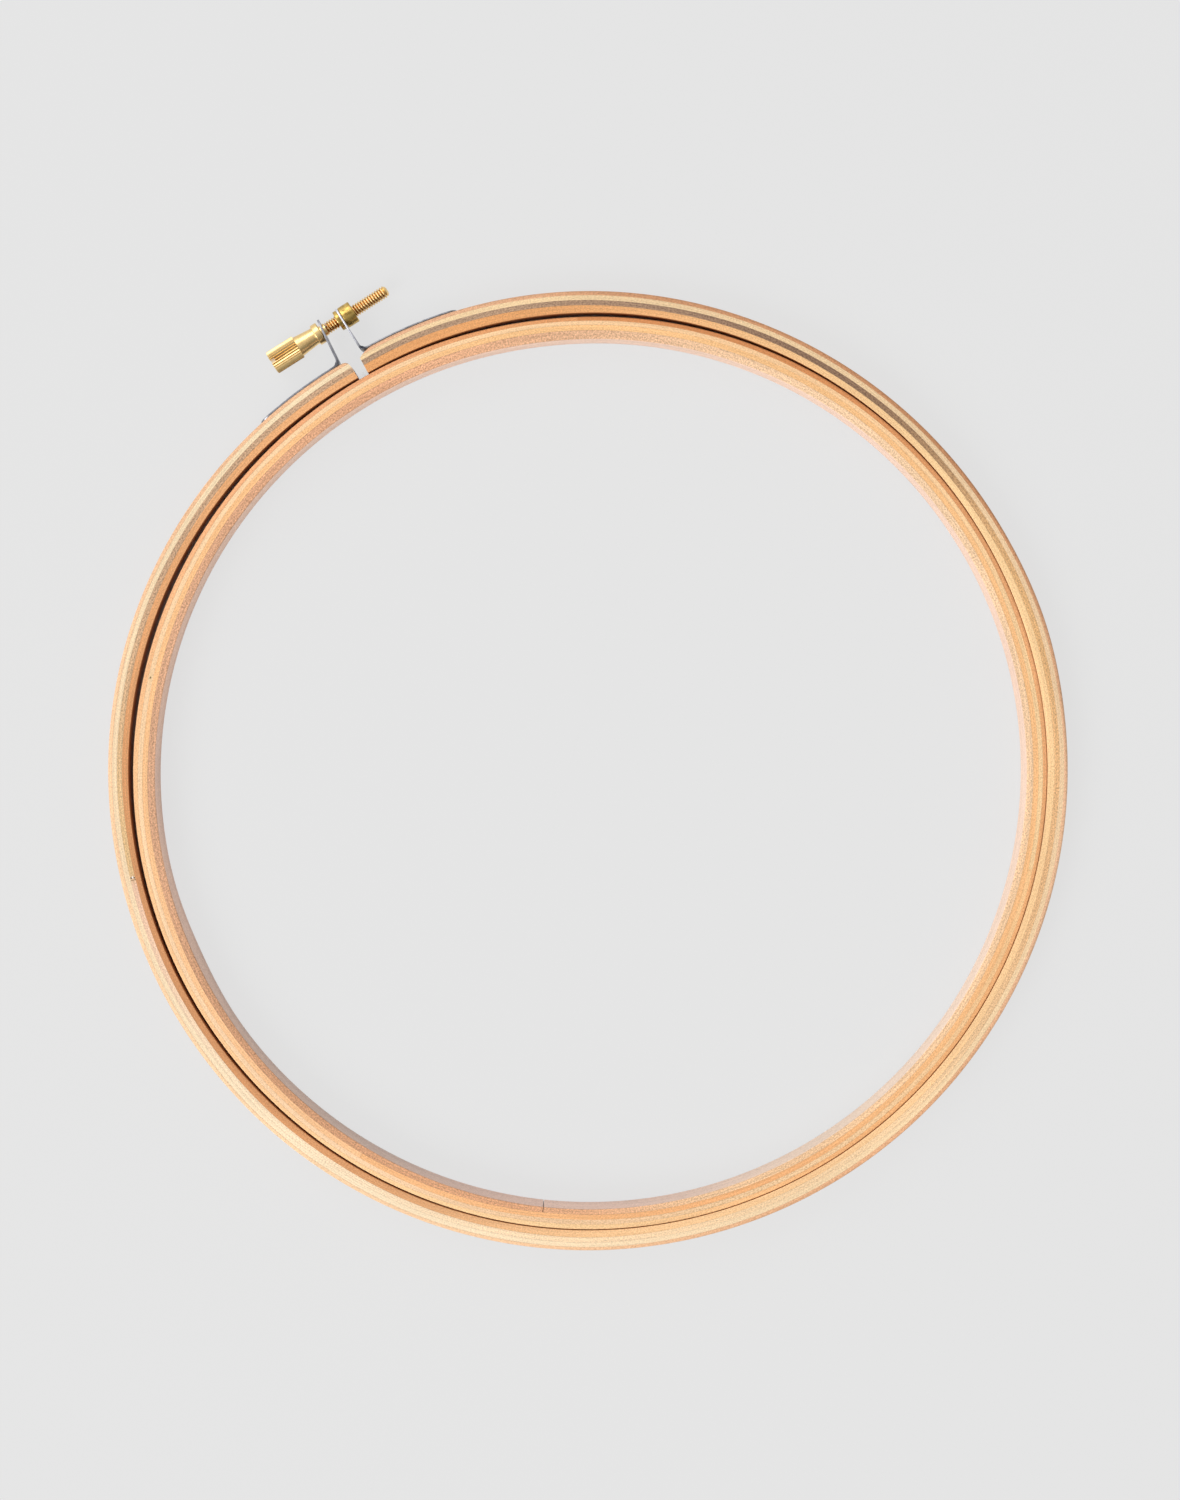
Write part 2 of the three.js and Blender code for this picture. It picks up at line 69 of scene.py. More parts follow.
# The split's corners on the free side (-1) and the nut side (1), as their reach along the ring, their
# depth, and a power that is 2 for a round corner and nearer 1 for a bevelled one
SPLIT_CORNERS = {-1: (2.0 * MM, 2.4 * MM, 2.0), 1: (4.0 * MM, 1.7 * MM, 1.2)}
CORNER_DEPTH = max(deep for _, deep, _ in SPLIT_CORNERS.values())
CORNER_RINGS = (0.03, 0.1, 0.2, 0.35, 0.5, 0.75, 1.0)

# How far the screw draws each end in, over how many degrees, and the power of that curve
FREE_DRAW = (1.25 * MM, 54.0, 1.45)
NUT_DRAW = (1.0 * MM, 42.0, 2.4)

# Swellings outwards and inwards, as height, and middle and spread in degrees from the split
SWELL = (0.35 * MM, 258.0, 8.0)
INSIDE_SWELL = (0.55 * MM, 345.0, 24.0)
INNERMOST_START = 0.69

# How far the glue lines drift, and the drift's waves round the ring with their heights
WANDER = 0.15 * MM
WANDER_WAVES = ((3, 1.0), (7, 0.6), (16, 0.4))
OUTER_SEED = 1.0

WELD = 0.0005 * MM


def deselect():
    """Leaves nothing selected, before a new piece is begun."""
    bpy.ops.object.select_all(action="DESELECT")


def open_all():
    """Opens the active piece in edit mode, all of it selected."""
    bpy.ops.object.mode_set(mode="EDIT")
    bpy.ops.mesh.select_all(action="SELECT")


def pick(piece, test):
    """Selects the corners whose place passes a test, and leaves the piece in edit mode."""
    bpy.ops.object.mode_set(mode="EDIT")
    bpy.ops.mesh.select_mode(type="VERT")
    bpy.ops.mesh.select_all(action="DESELECT")
    bpy.ops.object.mode_set(mode="OBJECT")
    for corner in piece.data.vertices:
        corner.select = bool(test(corner.co))
    bpy.ops.object.mode_set(mode="EDIT")


def settle(piece, name, angle=35.0):
    """Closes seams, turns faces outwards, smooths bends of up to so many degrees, names the piece."""
    open_all()
    bpy.ops.mesh.remove_doubles(threshold=WELD)
    bpy.ops.mesh.normals_make_consistent(inside=False)
    bpy.ops.object.mode_set(mode="OBJECT")
    bpy.ops.object.transform_apply()
    bpy.ops.object.shade_smooth_by_angle(angle=math.radians(angle))
    piece.name = name
    piece.data.name = name


def polar(place, centre):
    """A place as (radius, degrees anticlockwise from the split) about a ring's centre."""
    x, y = place.x - centre.x, place.y - centre.y
    return math.hypot(x, y), math.degrees(math.atan2(-x, y)) % 360


def set_polar(corner, centre, radius, turn):
    """Moves a corner to a radius and degrees from the split about a ring's centre."""
    angle = math.radians(turn)
    corner.co.x = centre.x - radius * math.sin(angle)
    corner.co.y = centre.y + radius * math.cos(angle)


def drawn_in(turn):
    """How far the screw has drawn the outer ring in, most at the split, and longer on the free side."""
    away = min(turn % 360, -turn % 360)
    depth, span, power = FREE_DRAW if turn % 360 < 180 else NUT_DRAW
    return depth * max(0.0, 1 - away / span) ** power


def bell(turn, height, middle, spread):
    """A smooth rise of a given height about one place."""
    return height * math.exp(-((turn - middle) / spread) ** 2)


def innermost(depth):
    """A place's share of a change in its innermost strip's thickness, from its share of the depth."""
    return max(0.0, (depth - INNERMOST_START) / (1 - INNERMOST_START))


def wander(turn, share, seed):
    """A glue line's slow drift across its ring, and none at the ring's own two faces."""
    angle = math.radians(turn)
    drift = sum(height * math.sin(count * angle + place * seed)
                for place, (count, height) in enumerate(WANDER_WAVES, 1))
    return WANDER * drift * math.sin(math.pi * min(max(share, 0.0), 1.0))


def strip_sides(ring_outside, plies, ply):
    """A strip's outer and inner radius, each half a glue line short of the next strip."""
    outer = ring_outside - sum(plies[:ply - 1]) - GLUE_GAP / 2 * (ply > 1)
    inner = ring_outside - sum(plies[:ply]) + GLUE_GAP / 2 * (ply < len(plies))
    return outer, inner


def bent_strip(name, centre, inner, outer, start, stop, outer_round, inner_round):
    """A strip of wood bent round from one turn to another, in degrees from the split."""
    deselect()
    first = math.radians(start + 90)
    middle = (inner + outer) / 2
    place = (centre.x + middle * math.cos(first), centre.y + middle * math.sin(first), RING_TOP / 2)
    bpy.ops.mesh.primitive_plane_add(size=1, location=place, rotation=(math.pi / 2, 0, first))
    piece = bpy.context.object
    piece.scale = (outer - inner, RING_TOP, 1)
    bpy.ops.object.transform_apply()
    for rounding, side in ((outer_round, 1), (inner_round, -1)):
        if rounding:
            pick(piece, lambda co: side * (polar(co, centre)[0] - middle) > 0)
            bpy.ops.mesh.bevel(offset=rounding, segments=EDGE_STEPS, affect="VERTICES")
            bpy.ops.object.mode_set(mode="OBJECT")
    open_all()
    bpy.ops.mesh.spin(steps=round(stop - start), angle=-math.radians(stop - start), center=centre,
                      axis=(0, 0, 1))
    bpy.ops.object.mode_set(mode="OBJECT")
    settle(piece, name)
    return piece


def lay_grain(piece, centre, start, outer):
    """Keeps each corner's place along, across and up its strip, for the wood's grain to follow."""
    grain = piece.data.attributes.new("grain", "FLOAT_VECTOR", "POINT")
    for corner, value in zip(piece.data.vertices, grain.data):
        radius, turn = polar(corner.co, centre)
        value.vector = (math.radians((turn - start) % 360) * outer, outer - radius, corner.co.z)


def tone(red, green, blue):
    """A colour as it is seen, out of 255, turned into light."""
    seen = (value / 255 for value in (red, green, blue))
    return (*(s / 12.92 if s <= 0.04045 else ((s + 0.055) / 1.055) ** 2.4 for s in seen), 1.0)


def new_material(name):
    """A material with its node tree and its Principled shader."""
    material = bpy.data.materials.new(name)
    material.use_nodes = True
    return material, material.node_tree, material.node_tree.nodes["Principled BSDF"]


def new_group(name, inputs, outputs):
    """An empty node group with its named sockets. Gives the tree and its two end nodes."""
    tree = bpy.data.node_groups.new(name, "ShaderNodeTree")
    for side, sockets in (("INPUT", inputs), ("OUTPUT", outputs)):
        for label, kind in sockets:
            tree.interface.new_socket(name=label, in_out=side, socket_type="NodeSocket" + kind)
    return tree, tree.nodes.new("NodeGroupInput"), tree.nodes.new("NodeGroupOutput")


def feed(tree, place, value):
    """Sets a socket to a plain value, or links another node's output to it."""
    if isinstance(value, bpy.types.NodeSocket):
        tree.links.new(value, place)
    else:
        place.default_value = value


def use_group(tree, group, **values):
    """Places a node group and feeds its sockets by name. Gives its outputs."""
    node = tree.nodes.new("ShaderNodeGroup")
    node.node_tree = group
    for label, value in values.items():
        feed(tree, node.inputs[label.replace("_", " ")], value)
    return node.outputs


def calc(tree, operation, *values):
    """One sum on numbers or sockets."""
    node = tree.nodes.new("ShaderNodeMath")
    node.operation = operation
    for place, value in zip(node.inputs, values):
        feed(tree, place, value)
    return node.outputs[0]


def times(tree, vector, scale):
    """A vector times another, or times one number."""
    node = tree.nodes.new("ShaderNodeVectorMath")
    single = isinstance(scale, float) or getattr(scale, "type", "") == "VALUE"
    node.operation = "SCALE" if single else "MULTIPLY"
    feed(tree, node.inputs[0], vector)
    feed(tree, node.inputs["Scale"] if single else node.inputs[1], scale)
    return node.outputs[0]


def noise(tree, vector, detail=2.0, roughness=0.5, scale=1.0):
    """Soft random waves from 0 to 1."""
    node = tree.nodes.new("ShaderNodeTexNoise")
    feed(tree, node.inputs["Vector"], vector)
    for label, value in (("Scale", scale), ("Detail", detail), ("Roughness", roughness)):
        node.inputs[label].default_value = value
    return node.outputs["Fac"]


def ranged(tree, value, low, high, to_low=0.0, to_high=1.0):
    """A value carried from one range to another, and kept within it."""
    node = tree.nodes.new("ShaderNodeMapRange")
    for place, number in zip(node.inputs, (value, low, high, to_low, to_high)):
        feed(tree, place, number)
    return node.outputs["Result"]


def mixed(tree, share, first, second):
    """Two colours mixed by a share of the second."""
    node = tree.nodes.new("ShaderNodeMix")
    node.data_type = "RGBA"
    for label, value in (("Factor_Float", share), ("A_Color", first), ("B_Color", second)):
        feed(tree, next(place for place in node.inputs if place.identifier == label), value)
    return next(place for place in node.outputs if place.identifier == "Result_Color")


def bumped(tree, height, depth, strength):
    """The normal of a surface with fine relief."""
    node = tree.nodes.new("ShaderNodeBump")
    node.inputs["Strength"].default_value = strength
    node.inputs["Distance"].default_value = depth
    feed(tree, node.inputs["Height"], height)
    return node.outputs["Normal"]


# The wood's pattern, as waves to a metre along, across and up a strip, and how dark and light it gets
MOST_NOISE = (0.3, 0.7)
STREAK_WAVES = (24, 2100, 1300)
STREAK_LIGHT = (0.86, 1.12)
SLOW_WAVES = (34, 300, 160)
SLOW_LIGHT = (0.94, 1.07)
PORE_WAVES = (2300, 3200, 3000)
PORE_LIGHT = (0.76, 1.24)
FLECK_WAVES = (1700, 2600, 2000)
FLECK_EDGE = (0.45, 0.62)
BROAD_FACE_LEVEL = (0.25, 0.65)
BROAD_FACE_FLECKS = 0.4
BROAD_FACE_CONTRAST = 0.5
SEAM_START = 0.455
SEAM_LIGHT = 0.8
BEECH_ROUGHNESS = (0.5, 0.7)
BEECH_RELIEF = 0.04 * MM


def beech_group():
    """Beech: long streaks, fine pores, short dark flecks, dark glue lines, and broad faces of their
    own tone."""
    tree, given, gives = new_group(
        "beech",
        [("Grain", "Vector"), ("Tone", "Color"), ("Fleck Tone", "Color"), ("Face Tone", "Color"),
         ("Flecks", "Float"), ("Streaks", "Float"), ("Thick", "Float")],
        [("Color", "Color"), ("Roughness", "Float"), ("Height", "Float")])
    values = given.outputs
    parts = tree.nodes.new("ShaderNodeSeparateXYZ")
    feed(tree, parts.inputs[0], values["Grain"])
    across = calc(tree, "DIVIDE", parts.outputs["Y"], values["Thick"])

    # A broad face is seen where the wood stands upright
    facing = tree.nodes.new("ShaderNodeSeparateXYZ")
    feed(tree, facing.inputs[0], tree.nodes.new("ShaderNodeNewGeometry").outputs["Normal"])
    face = ranged(tree, calc(tree, "ABSOLUTE", facing.outputs["Z"]), *BROAD_FACE_LEVEL, 1.0, 0.0)

    streak = noise(tree, times(tree, values["Grain"], STREAK_WAVES), 3.0, 0.6)
    slow = noise(tree, times(tree, values["Grain"], SLOW_WAVES))
    pore = noise(tree, times(tree, values["Grain"], PORE_WAVES), 2.0, 0.7)
    fleck = noise(tree, times(tree, values["Grain"], FLECK_WAVES), 2.0, 0.65)
    shown = ranged(tree, face, 0.0, 1.0, 1.0, BROAD_FACE_FLECKS)
    flecks = calc(tree, "MULTIPLY", ranged(tree, fleck, *FLECK_EDGE),
                  calc(tree, "MULTIPLY", values["Flecks"], shown))

    light = calc(tree, "MULTIPLY", ranged(tree, streak, *MOST_NOISE, *STREAK_LIGHT),
                 ranged(tree, slow, *MOST_NOISE, *SLOW_LIGHT))
    light = calc(tree, "MULTIPLY", light, ranged(tree, pore, 0.32, 0.68, *PORE_LIGHT))
    contrast = ranged(tree, face, 0.0, 1.0, 1.0, BROAD_FACE_CONTRAST)
    contrast = calc(tree, "MULTIPLY", values["Streaks"], contrast)
    light = calc(tree, "MULTIPLY_ADD", calc(tree, "SUBTRACT", light, 1.0), contrast, 1.0)

    # A glue line lies along each side of a strip, and shows on its edges alone
    seam = calc(tree, "ABSOLUTE", calc(tree, "SUBTRACT", across, 0.5))
    seam = ranged(tree, seam, SEAM_START, 0.5, 1.0, SEAM_LIGHT)
    light = calc(tree, "MULTIPLY", light, calc(tree, "MAXIMUM", seam, face))

    ground = mixed(tree, face, values["Tone"], values["Face Tone"])
    colour = mixed(tree, flecks, ground, values["Fleck Tone"])
    feed(tree, gives.inputs["Color"], times(tree, colour, light))
    feed(tree, gives.inputs["Roughness"], ranged(tree, streak, 0.2, 0.8, *BEECH_ROUGHNESS))
    feed(tree, gives.inputs["Height"], calc(tree, "SUBTRACT", calc(tree, "ADD", streak, pore), flecks))
    return tree


BEECH = beech_group()
RAGGED_WAVES = 4000.0
RAGGED_REACH = 1.2
MARK_EDGE = (1.1, 1.6)


def mark_group():
    """A mask for a small ragged mark at one place along and across a strip."""
    tree, given, gives = new_group(
        "mark", [("Grain", "Vector"), ("Stretch", "Vector"), ("Place", "Vector")], [("Mask", "Float")])
    apart = tree.nodes.new("ShaderNodeVectorMath")
    apart.operation = "DISTANCE"
    feed(tree, apart.inputs[0], times(tree, given.outputs["Grain"], given.outputs["Stretch"]))
    feed(tree, apart.inputs[1], given.outputs["Place"])
    ragged = noise(tree, times(tree, given.outputs["Grain"], RAGGED_WAVES), 2.0, 0.6)
    reach = calc(tree, "MULTIPLY_ADD", ragged, RAGGED_REACH, apart.outputs["Value"])
    feed(tree, gives.inputs["Mask"], ranged(tree, reach, *MARK_EDGE, 1.0, 0.0))
    return tree


MARK = mark_group()


def kept_value(tree, name):
    """What a piece keeps at each of its corners under a name."""
    node = tree.nodes.new("ShaderNodeAttribute")
    node.attribute_name = name
    return node.outputs


def tone_ramp(tree, along, start, stops):
    """Tones along a strip, from (degrees from the split, tone, second value) stops."""
    ramp = tree.nodes.new("ShaderNodeValToRGB")
    ramp.color_ramp.interpolation = "EASE"
    points = ramp.color_ramp.elements
    placed = sorted((((turn - start) % 360) / 360, look, value) for turn, look, value in stops)
    while len(points) < len(placed):
        points.new(0.5)
    for point, (place, look, value) in zip(points, placed):
        point.position = place
        point.color = (*tone(*look)[:3], value)
    feed(tree, ramp.inputs["Fac"], along)
    return ramp.outputs


def beech(name, start, length, thick, fleck_tone, face_tones, stops, streaks, marks):
    """One strip's wood. Its broad faces' tones are (degrees from the split, tone), its stops the same
    with a share of flecks, and its marks (degrees, share of the way in, length, width, tone)."""
    material, tree, shader = new_material(name)
    grain = kept_value(tree, "grain")["Vector"]
    parts = tree.nodes.new("ShaderNodeSeparateXYZ")
    feed(tree, parts.inputs[0], grain)
    along = calc(tree, "DIVIDE", parts.outputs["X"], length)
    edge = tone_ramp(tree, along, start, stops)
    face = tone_ramp(tree, along, start, [(turn, look, 1.0) for turn, look in face_tones])
    wood = use_group(
        tree, BEECH, Grain=grain, Tone=edge["Color"], Flecks=edge["Alpha"],
        Fleck_Tone=tone(*fleck_tone), Face_Tone=face["Color"], Streaks=streaks, Thick=thick)
    colour = wood["Color"]
    for turn, share, long, wide, look in marks:
        middle = length * ((turn - start) % 360) / 360
        spot = use_group(tree, MARK, Grain=grain, Stretch=(1 / long, 1 / wide, 0),
                         Place=(middle / long, share * thick / wide, 0))
        colour = mixed(tree, spot["Mask"], colour, tone(*look))
    feed(tree, shader.inputs["Base Color"], colour)
    feed(tree, shader.inputs["Roughness"], wood["Roughness"])
    feed(tree, shader.inputs["Normal"], bumped(tree, wood["Height"], BEECH_RELIEF, 0.6))
    shader.inputs["Specular IOR Level"].default_value = 0.3
    return material


def set_back(share, power):
    """A rounded corner's curve: how far back it stands at one place, both as shares from 0 to 1."""
    return 1 - (1 - share ** power) ** (1 / power)


def end_turn(side, deepest):
    """Degrees from the split to a strip's end, further on where the corner cuts right through it."""
    reach, deep, power = SPLIT_CORNERS[side]
    back = reach * set_back(1 - min(deepest / deep, 1), power)
    return math.degrees((SPLIT_HALF + back) / OUTER_RADIUS)


def round_split_ends(strip, inner):
    """Adds rings of corners near the split, and brings their outside in to the rounded corner."""
    for side, (reach, _, _) in SPLIT_CORNERS.items():
        for share in CORNER_RINGS:
            open_all()
            bpy.ops.mesh.bisect(plane_co=(side * (SPLIT_HALF + share * reach), 0, 0),
                                plane_no=(1, 0, 0))
            bpy.ops.object.mode_set(mode="OBJECT")
    for corner in strip.data.vertices:
        reach, deep, power = SPLIT_CORNERS[1 if corner.co.x > 0 else -1]
        near = (abs(corner.co.x) - SPLIT_HALF) / reach
        if corner.co.y > CENTRE.y and near < 1:
            radius, turn = polar(corner.co, CENTRE)
            cut = deep * set_back(1 - max(near, 0.0), power)
            most = max(OUTER_RADIUS - cut, inner + LEAST_THICK)
            set_polar(corner, CENTRE, min(radius, most), turn)


# Each strip's wood: its name, its flecks' tone, its broad faces' tones and its edges' tones
OUTER_WOOD = {
    # Its edge is darker brown at about 280 to 318 degrees, partly its own tone and partly painted shade
    # where the rounded edge faces away from the lamps.
    1: ("beech_brown", (160, 100, 62), [(0, (240, 200, 166)), (180, (236, 196, 160))], [
        (2, (251, 200, 156), 0.25), (108, (250, 210, 167), 0.15), (195, (244, 187, 142), 0.3),
        (228, (252, 203, 163), 0.25), (280, (209, 150, 106), 0.35), (318, (219, 160, 117), 0.35),
        (350, (245, 191, 150), 0.3)]),
    2: ("beech_cream", (206, 158, 108), [(0, (244, 216, 178)), (180, (240, 212, 174))], [
        (2, (254, 230, 190), 0.2), (60, (247, 219, 180), 0.2), (115, (253, 229, 193), 0.12),
        (200, (251, 219, 175), 0.28), (255, (240, 207, 167), 0.35), (315, (241, 209, 165), 0.35),
        (338, (250, 218, 171), 0.3)]),
    3: ("beech_grey", (88, 64, 50), [(0, (224, 188, 156)), (180, (228, 190, 154))], [
        (35, (217, 177, 141), 0.5), (73.5, (236, 196, 142), 0.25), (74.3, (242, 200, 170), 0.12),
        (105, (254, 226, 190), 0.08), (180, (254, 217, 172), 0.15), (232, (243, 193, 140), 0.33),
        (260, (237, 187, 129), 0.35), (300, (151, 119, 95), 0.6), (340, (193, 158, 128), 0.5)]),
    # Its broad faces are dark brown as painted shade of the narrow gap between the rings.
    4: ("beech_orange", (196, 122, 66), [(0, (186, 122, 76)), (180, (190, 126, 78))], [
        (1, (246, 183, 126), 0.3), (88, (212, 150, 101), 0.35), (112, (220, 157, 106), 0.35),
        (165, (255, 209, 156), 0.22), (275, (255, 215, 160), 0.2), (347, (237, 170, 109), 0.33)]),
}

# A chip beside the third strip's butt joint
OUTER_MARKS = {3: [(73.6, 0.2, 0.35 * MM, 0.24 * MM, (64, 46, 36)),
                   (73.62, 0.8, 0.35 * MM, 0.24 * MM, (60, 44, 36)),
                   (73.55, 0.5, 0.4 * MM, 0.28 * MM, (248, 244, 238))]}
PLAIN_STREAKS = 0.8
OUTER_STREAKS = {3: 1.1}

for ply, (slot_name, fleck_tone, face_tones, stops) in OUTER_WOOD.items():
    outer, inner = strip_sides(OUTER_RADIUS, OUTER_PLIES, ply)
    deepest = sum(OUTER_PLIES[:ply]) - LEAST_THICK
    first, last = end_turn(-1, deepest), 360 - end_turn(1, deepest)
    lengths = {"": (first, last)}
    if ply == BUTTED_PLY:
        lengths = {"_front": (first, BUTT_TURN - BUTT_HALF_TURN),
                   "_back": (BUTT_TURN + BUTT_HALF_TURN, last)}
    material = beech(slot_name, 0, math.tau * outer, outer - inner, fleck_tone, face_tones, stops,
                     OUTER_STREAKS.get(ply, PLAIN_STREAKS), OUTER_MARKS.get(ply, ()))
    for ending, (start, stop) in lengths.items():
        strip = bent_strip(f"outer_strip_{ply}{ending}", CENTRE, inner, outer, start, stop,
                           EDGE_ROUND * (ply == 1), EDGE_EASE * (ply == len(OUTER_PLIES)))
        if OUTER_RADIUS - outer < CORNER_DEPTH:
            round_split_ends(strip, inner)
        lay_grain(strip, CENTRE, 0, outer)
        for corner in strip.data.vertices:
            radius, turn = polar(corner.co, CENTRE)
            depth = (OUTER_RADIUS - radius) / sum(OUTER_PLIES)
            radius += wander(turn, depth, OUTER_SEED) - drawn_in(turn)
            radius += (1 - depth) * bell(turn, *SWELL)
            radius -= innermost(depth) * bell(turn, *INSIDE_SWELL)
            set_polar(corner, CENTRE, radius, turn)
            corner.co.x = min(corner.co.x, OUTER_RADIUS)
        strip.data.materials.append(material)
        if ending == "_front":
            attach(strip, "outer_ring_free_side")
            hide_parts("outer_ring_free_ply_3_front")
            continue
        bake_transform(strip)
        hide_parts(f"outer_ring_free_ply_{ply}{ending}", f"outer_ring_nut_ply_{ply}")

# The inner ring: four more strips of beech, closed, with a butt joint in each. It stands loose in the
# outer ring, a little nearer the side away from the screw.
INNER_OUT = (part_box("inner_ring_ply_1")[1].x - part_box("inner_ring_ply_1")[0].x) / 2
INNER_CENTRE = Vector((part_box("inner_ring_ply_1")[1].x - INNER_OUT,
                       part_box("inner_ring_ply_1")[0].y + INNER_OUT, 0.0))
INNER_PLIES = (1.25 * MM, 1.2 * MM, 1.4 * MM, 1.65 * MM)
INNER_ROUND = 0.5 * MM
INNER_SEED = 2.6

# The ring is a slight oval, as waves round it with their heights and degrees, and two swellings
OVAL_WAVES = ((0, 0.285 * MM, 0), (1, 0.06 * MM, 0), (2, -0.26 * MM, -17), (3, -0.07 * MM, 53))
OVAL_SWELLS = ((0.12 * MM, 302.0, 20.0), (-0.2 * MM, 337.0, 12.0))
WALL_SWELL = (0.5 * MM, 85.0, 7.0)
SPLIT_SWELL = 0.65 * MM
SPLIT_SWELL_POWER = 1.3


def out_of_round(turn):
    """How far the inner ring's outline stands outside a true circle."""
    oval = sum(height * math.cos(math.radians(count * turn + shift))
               for count, height, shift in OVAL_WAVES)
    return oval + sum(bell(turn, *swelling) for swelling in OVAL_SWELLS)


def inside_swell(turn):
    """How much thicker the inner ring's innermost strip is towards the screw."""
    return SPLIT_SWELL * ((1 + math.cos(math.radians(turn))) / 2) ** SPLIT_SWELL_POWER


# Each strip's wood: its name, the degrees from the split to its joint, then as for the outer ring
INNER_WOOD = {
    # Its broad faces are darker brown as painted shade of the narrow gap between the rings, and its
    # edge is darker at about 305 degrees, partly its own tone and partly painted shade where the
    # rounded edge faces away from the lamps.
    1: ("beech_rust", 332.0, (184, 110, 58), [(0, (196, 140, 96)), (180, (200, 142, 96))], [
        (5, (248, 178, 127), 0.25), (75, (253, 202, 149), 0.2), (145, (254, 212, 158), 0.17),
        (190, (253, 189, 128), 0.3), (250, (242, 178, 123), 0.3), (305, (222, 148, 92), 0.35),
        (340, (239, 168, 111), 0.35)]),
    2: ("beech_pale", 228.0, (196, 150, 100), [(0, (240, 204, 166)), (180, (238, 200, 162))], [
        (30, (255, 216, 171), 0.25), (120, (253, 213, 172), 0.25), (150, (241, 201, 159), 0.45),
        (175, (252, 213, 167), 0.6), (226, (255, 206, 149), 0.3), (234, (255, 216, 163), 0.3),
        (300, (254, 209, 159), 0.28)]),
    3: ("beech_amber", 119.4, (204, 128, 70), [(0, (238, 188, 144)), (180, (234, 184, 140))], [
        (20, (253, 199, 142), 0.3), (100, (253, 201, 150), 0.25), (140, (254, 194, 137), 0.3),
        (172, (245, 182, 125), 0.3), (200, (254, 197, 139), 0.3), (335, (255, 204, 145), 0.3)]),
    # Its broad faces, the ring's inside wall, darken about 118 degrees as painted shade where the wall
    # faces away from the lamps.
    4: ("beech_lilac", 144.15, (152, 106, 78), [
        (10, (254, 219, 197)), (62, (252, 216, 195)), (118, (219, 195, 181)), (142, (240, 208, 192)),
        (150, (245, 213, 196)), (185, (255, 230, 208)), (265, (251, 218, 196))], [
        (0, (236, 178, 137), 0.43), (55, (224, 174, 138), 0.5), (110, (215, 161, 121), 0.5),
        (143, (241, 180, 135), 0.43), (148, (241, 183, 139), 0.4), (168, (254, 210, 164), 0.3),
        (292, (255, 217, 176), 0.3)]),
}
INNER_JOINT_HALF = {1: 0.004, 2: 0.004, 3: 0.012, 4: 0.05}
INNER_STREAKS = {4: 1.2}

# A pin knot with its paler surround, beyond the free side's foot
INNER_MARKS = {2: [(48.15, 0.5, 2.6 * MM, 0.42 * MM, (240, 202, 156)),
                   (48.15, 0.45, 0.4 * MM, 0.3 * MM, (122, 104, 68))]}

for ply, (slot_name, joint, fleck_tone, face_tones, stops) in INNER_WOOD.items():
    outer, inner = strip_sides(INNER_OUT, INNER_PLIES, ply)
    half = INNER_JOINT_HALF[ply]
    strip = bent_strip(f"inner_strip_{ply}", INNER_CENTRE, inner, outer, joint + half,
                       joint + 360 - half, INNER_ROUND * (ply == 1),
                       EDGE_EASE * (ply == len(INNER_PLIES)))
    lay_grain(strip, INNER_CENTRE, joint, outer)
    for corner in strip.data.vertices:
        radius, turn = polar(corner.co, INNER_CENTRE)
        depth = (INNER_OUT - radius) / sum(INNER_PLIES)
        low = depth * (1 - corner.co.z / RING_TOP)
        radius += wander(turn, depth, INNER_SEED) + out_of_round(turn)
        radius -= low * bell(turn, *WALL_SWELL)
        radius -= innermost(depth) * inside_swell(turn)
        set_polar(corner, INNER_CENTRE, radius, turn)
    strip.data.materials.append(
        beech(slot_name, joint, math.tau * outer, outer - inner, fleck_tone, face_tones, stops,
              INNER_STREAKS.get(ply, PLAIN_STREAKS), INNER_MARKS.get(ply, ())))
    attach(strip, "inner_ring")
    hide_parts(f"inner_ring_ply_{ply}")

# The two brackets: strips of zinc-plated steel with rounded ends, bent into a foot that follows the
# outside of the ring and an ear that stands out from it to hold the screw.
SCREW_EYE = Vector((0.0, 0.132868832, RING_TOP / 2))
SCREW_TILT = math.radians(2.8)
STRIP_THICK = 0.55 * MM
STRIP_WIDTH = 7 * MM
STRIP_CORNER = 3 * MM
STRIP_CORNER_STEPS = 8
FOOT_CLEAR = 0.1 * MM
FOOT_POINTS = 40
FREE_EAR = -3.5 * MM
NUT_EAR = 2.55 * MM
EAR_TOP = 3.2 * MM
BEND = 1.8 * MM
BEND_POINTS = 16
BEND_MIDDLE = -2 - BEND_POINTS // 2
BEND_THICK = 0.95 * MM
BEND_SPREAD = 1.1 * MM
HOLE_STEPS = 48
HOLE_DRILL = 6 * MM
TINY = 1e-9

# Each bracket's hand (-1 is the free side), its ear's place along the screw and lean, its foot's end in
# degrees from the split, its hole's radius, the rounding of its edges, and the body that it rides on
BRACKETS = {
    "free": (-1, FREE_EAR, math.radians(3.4), 13.6, 1.98 * MM, 0.06 * MM, "outer_ring_free_side"),
    "nut": (1, NUT_EAR, -SCREW_TILT, 13.7, 2.46 * MM, 0.2 * MM, "outer_ring_nut_side"),
}

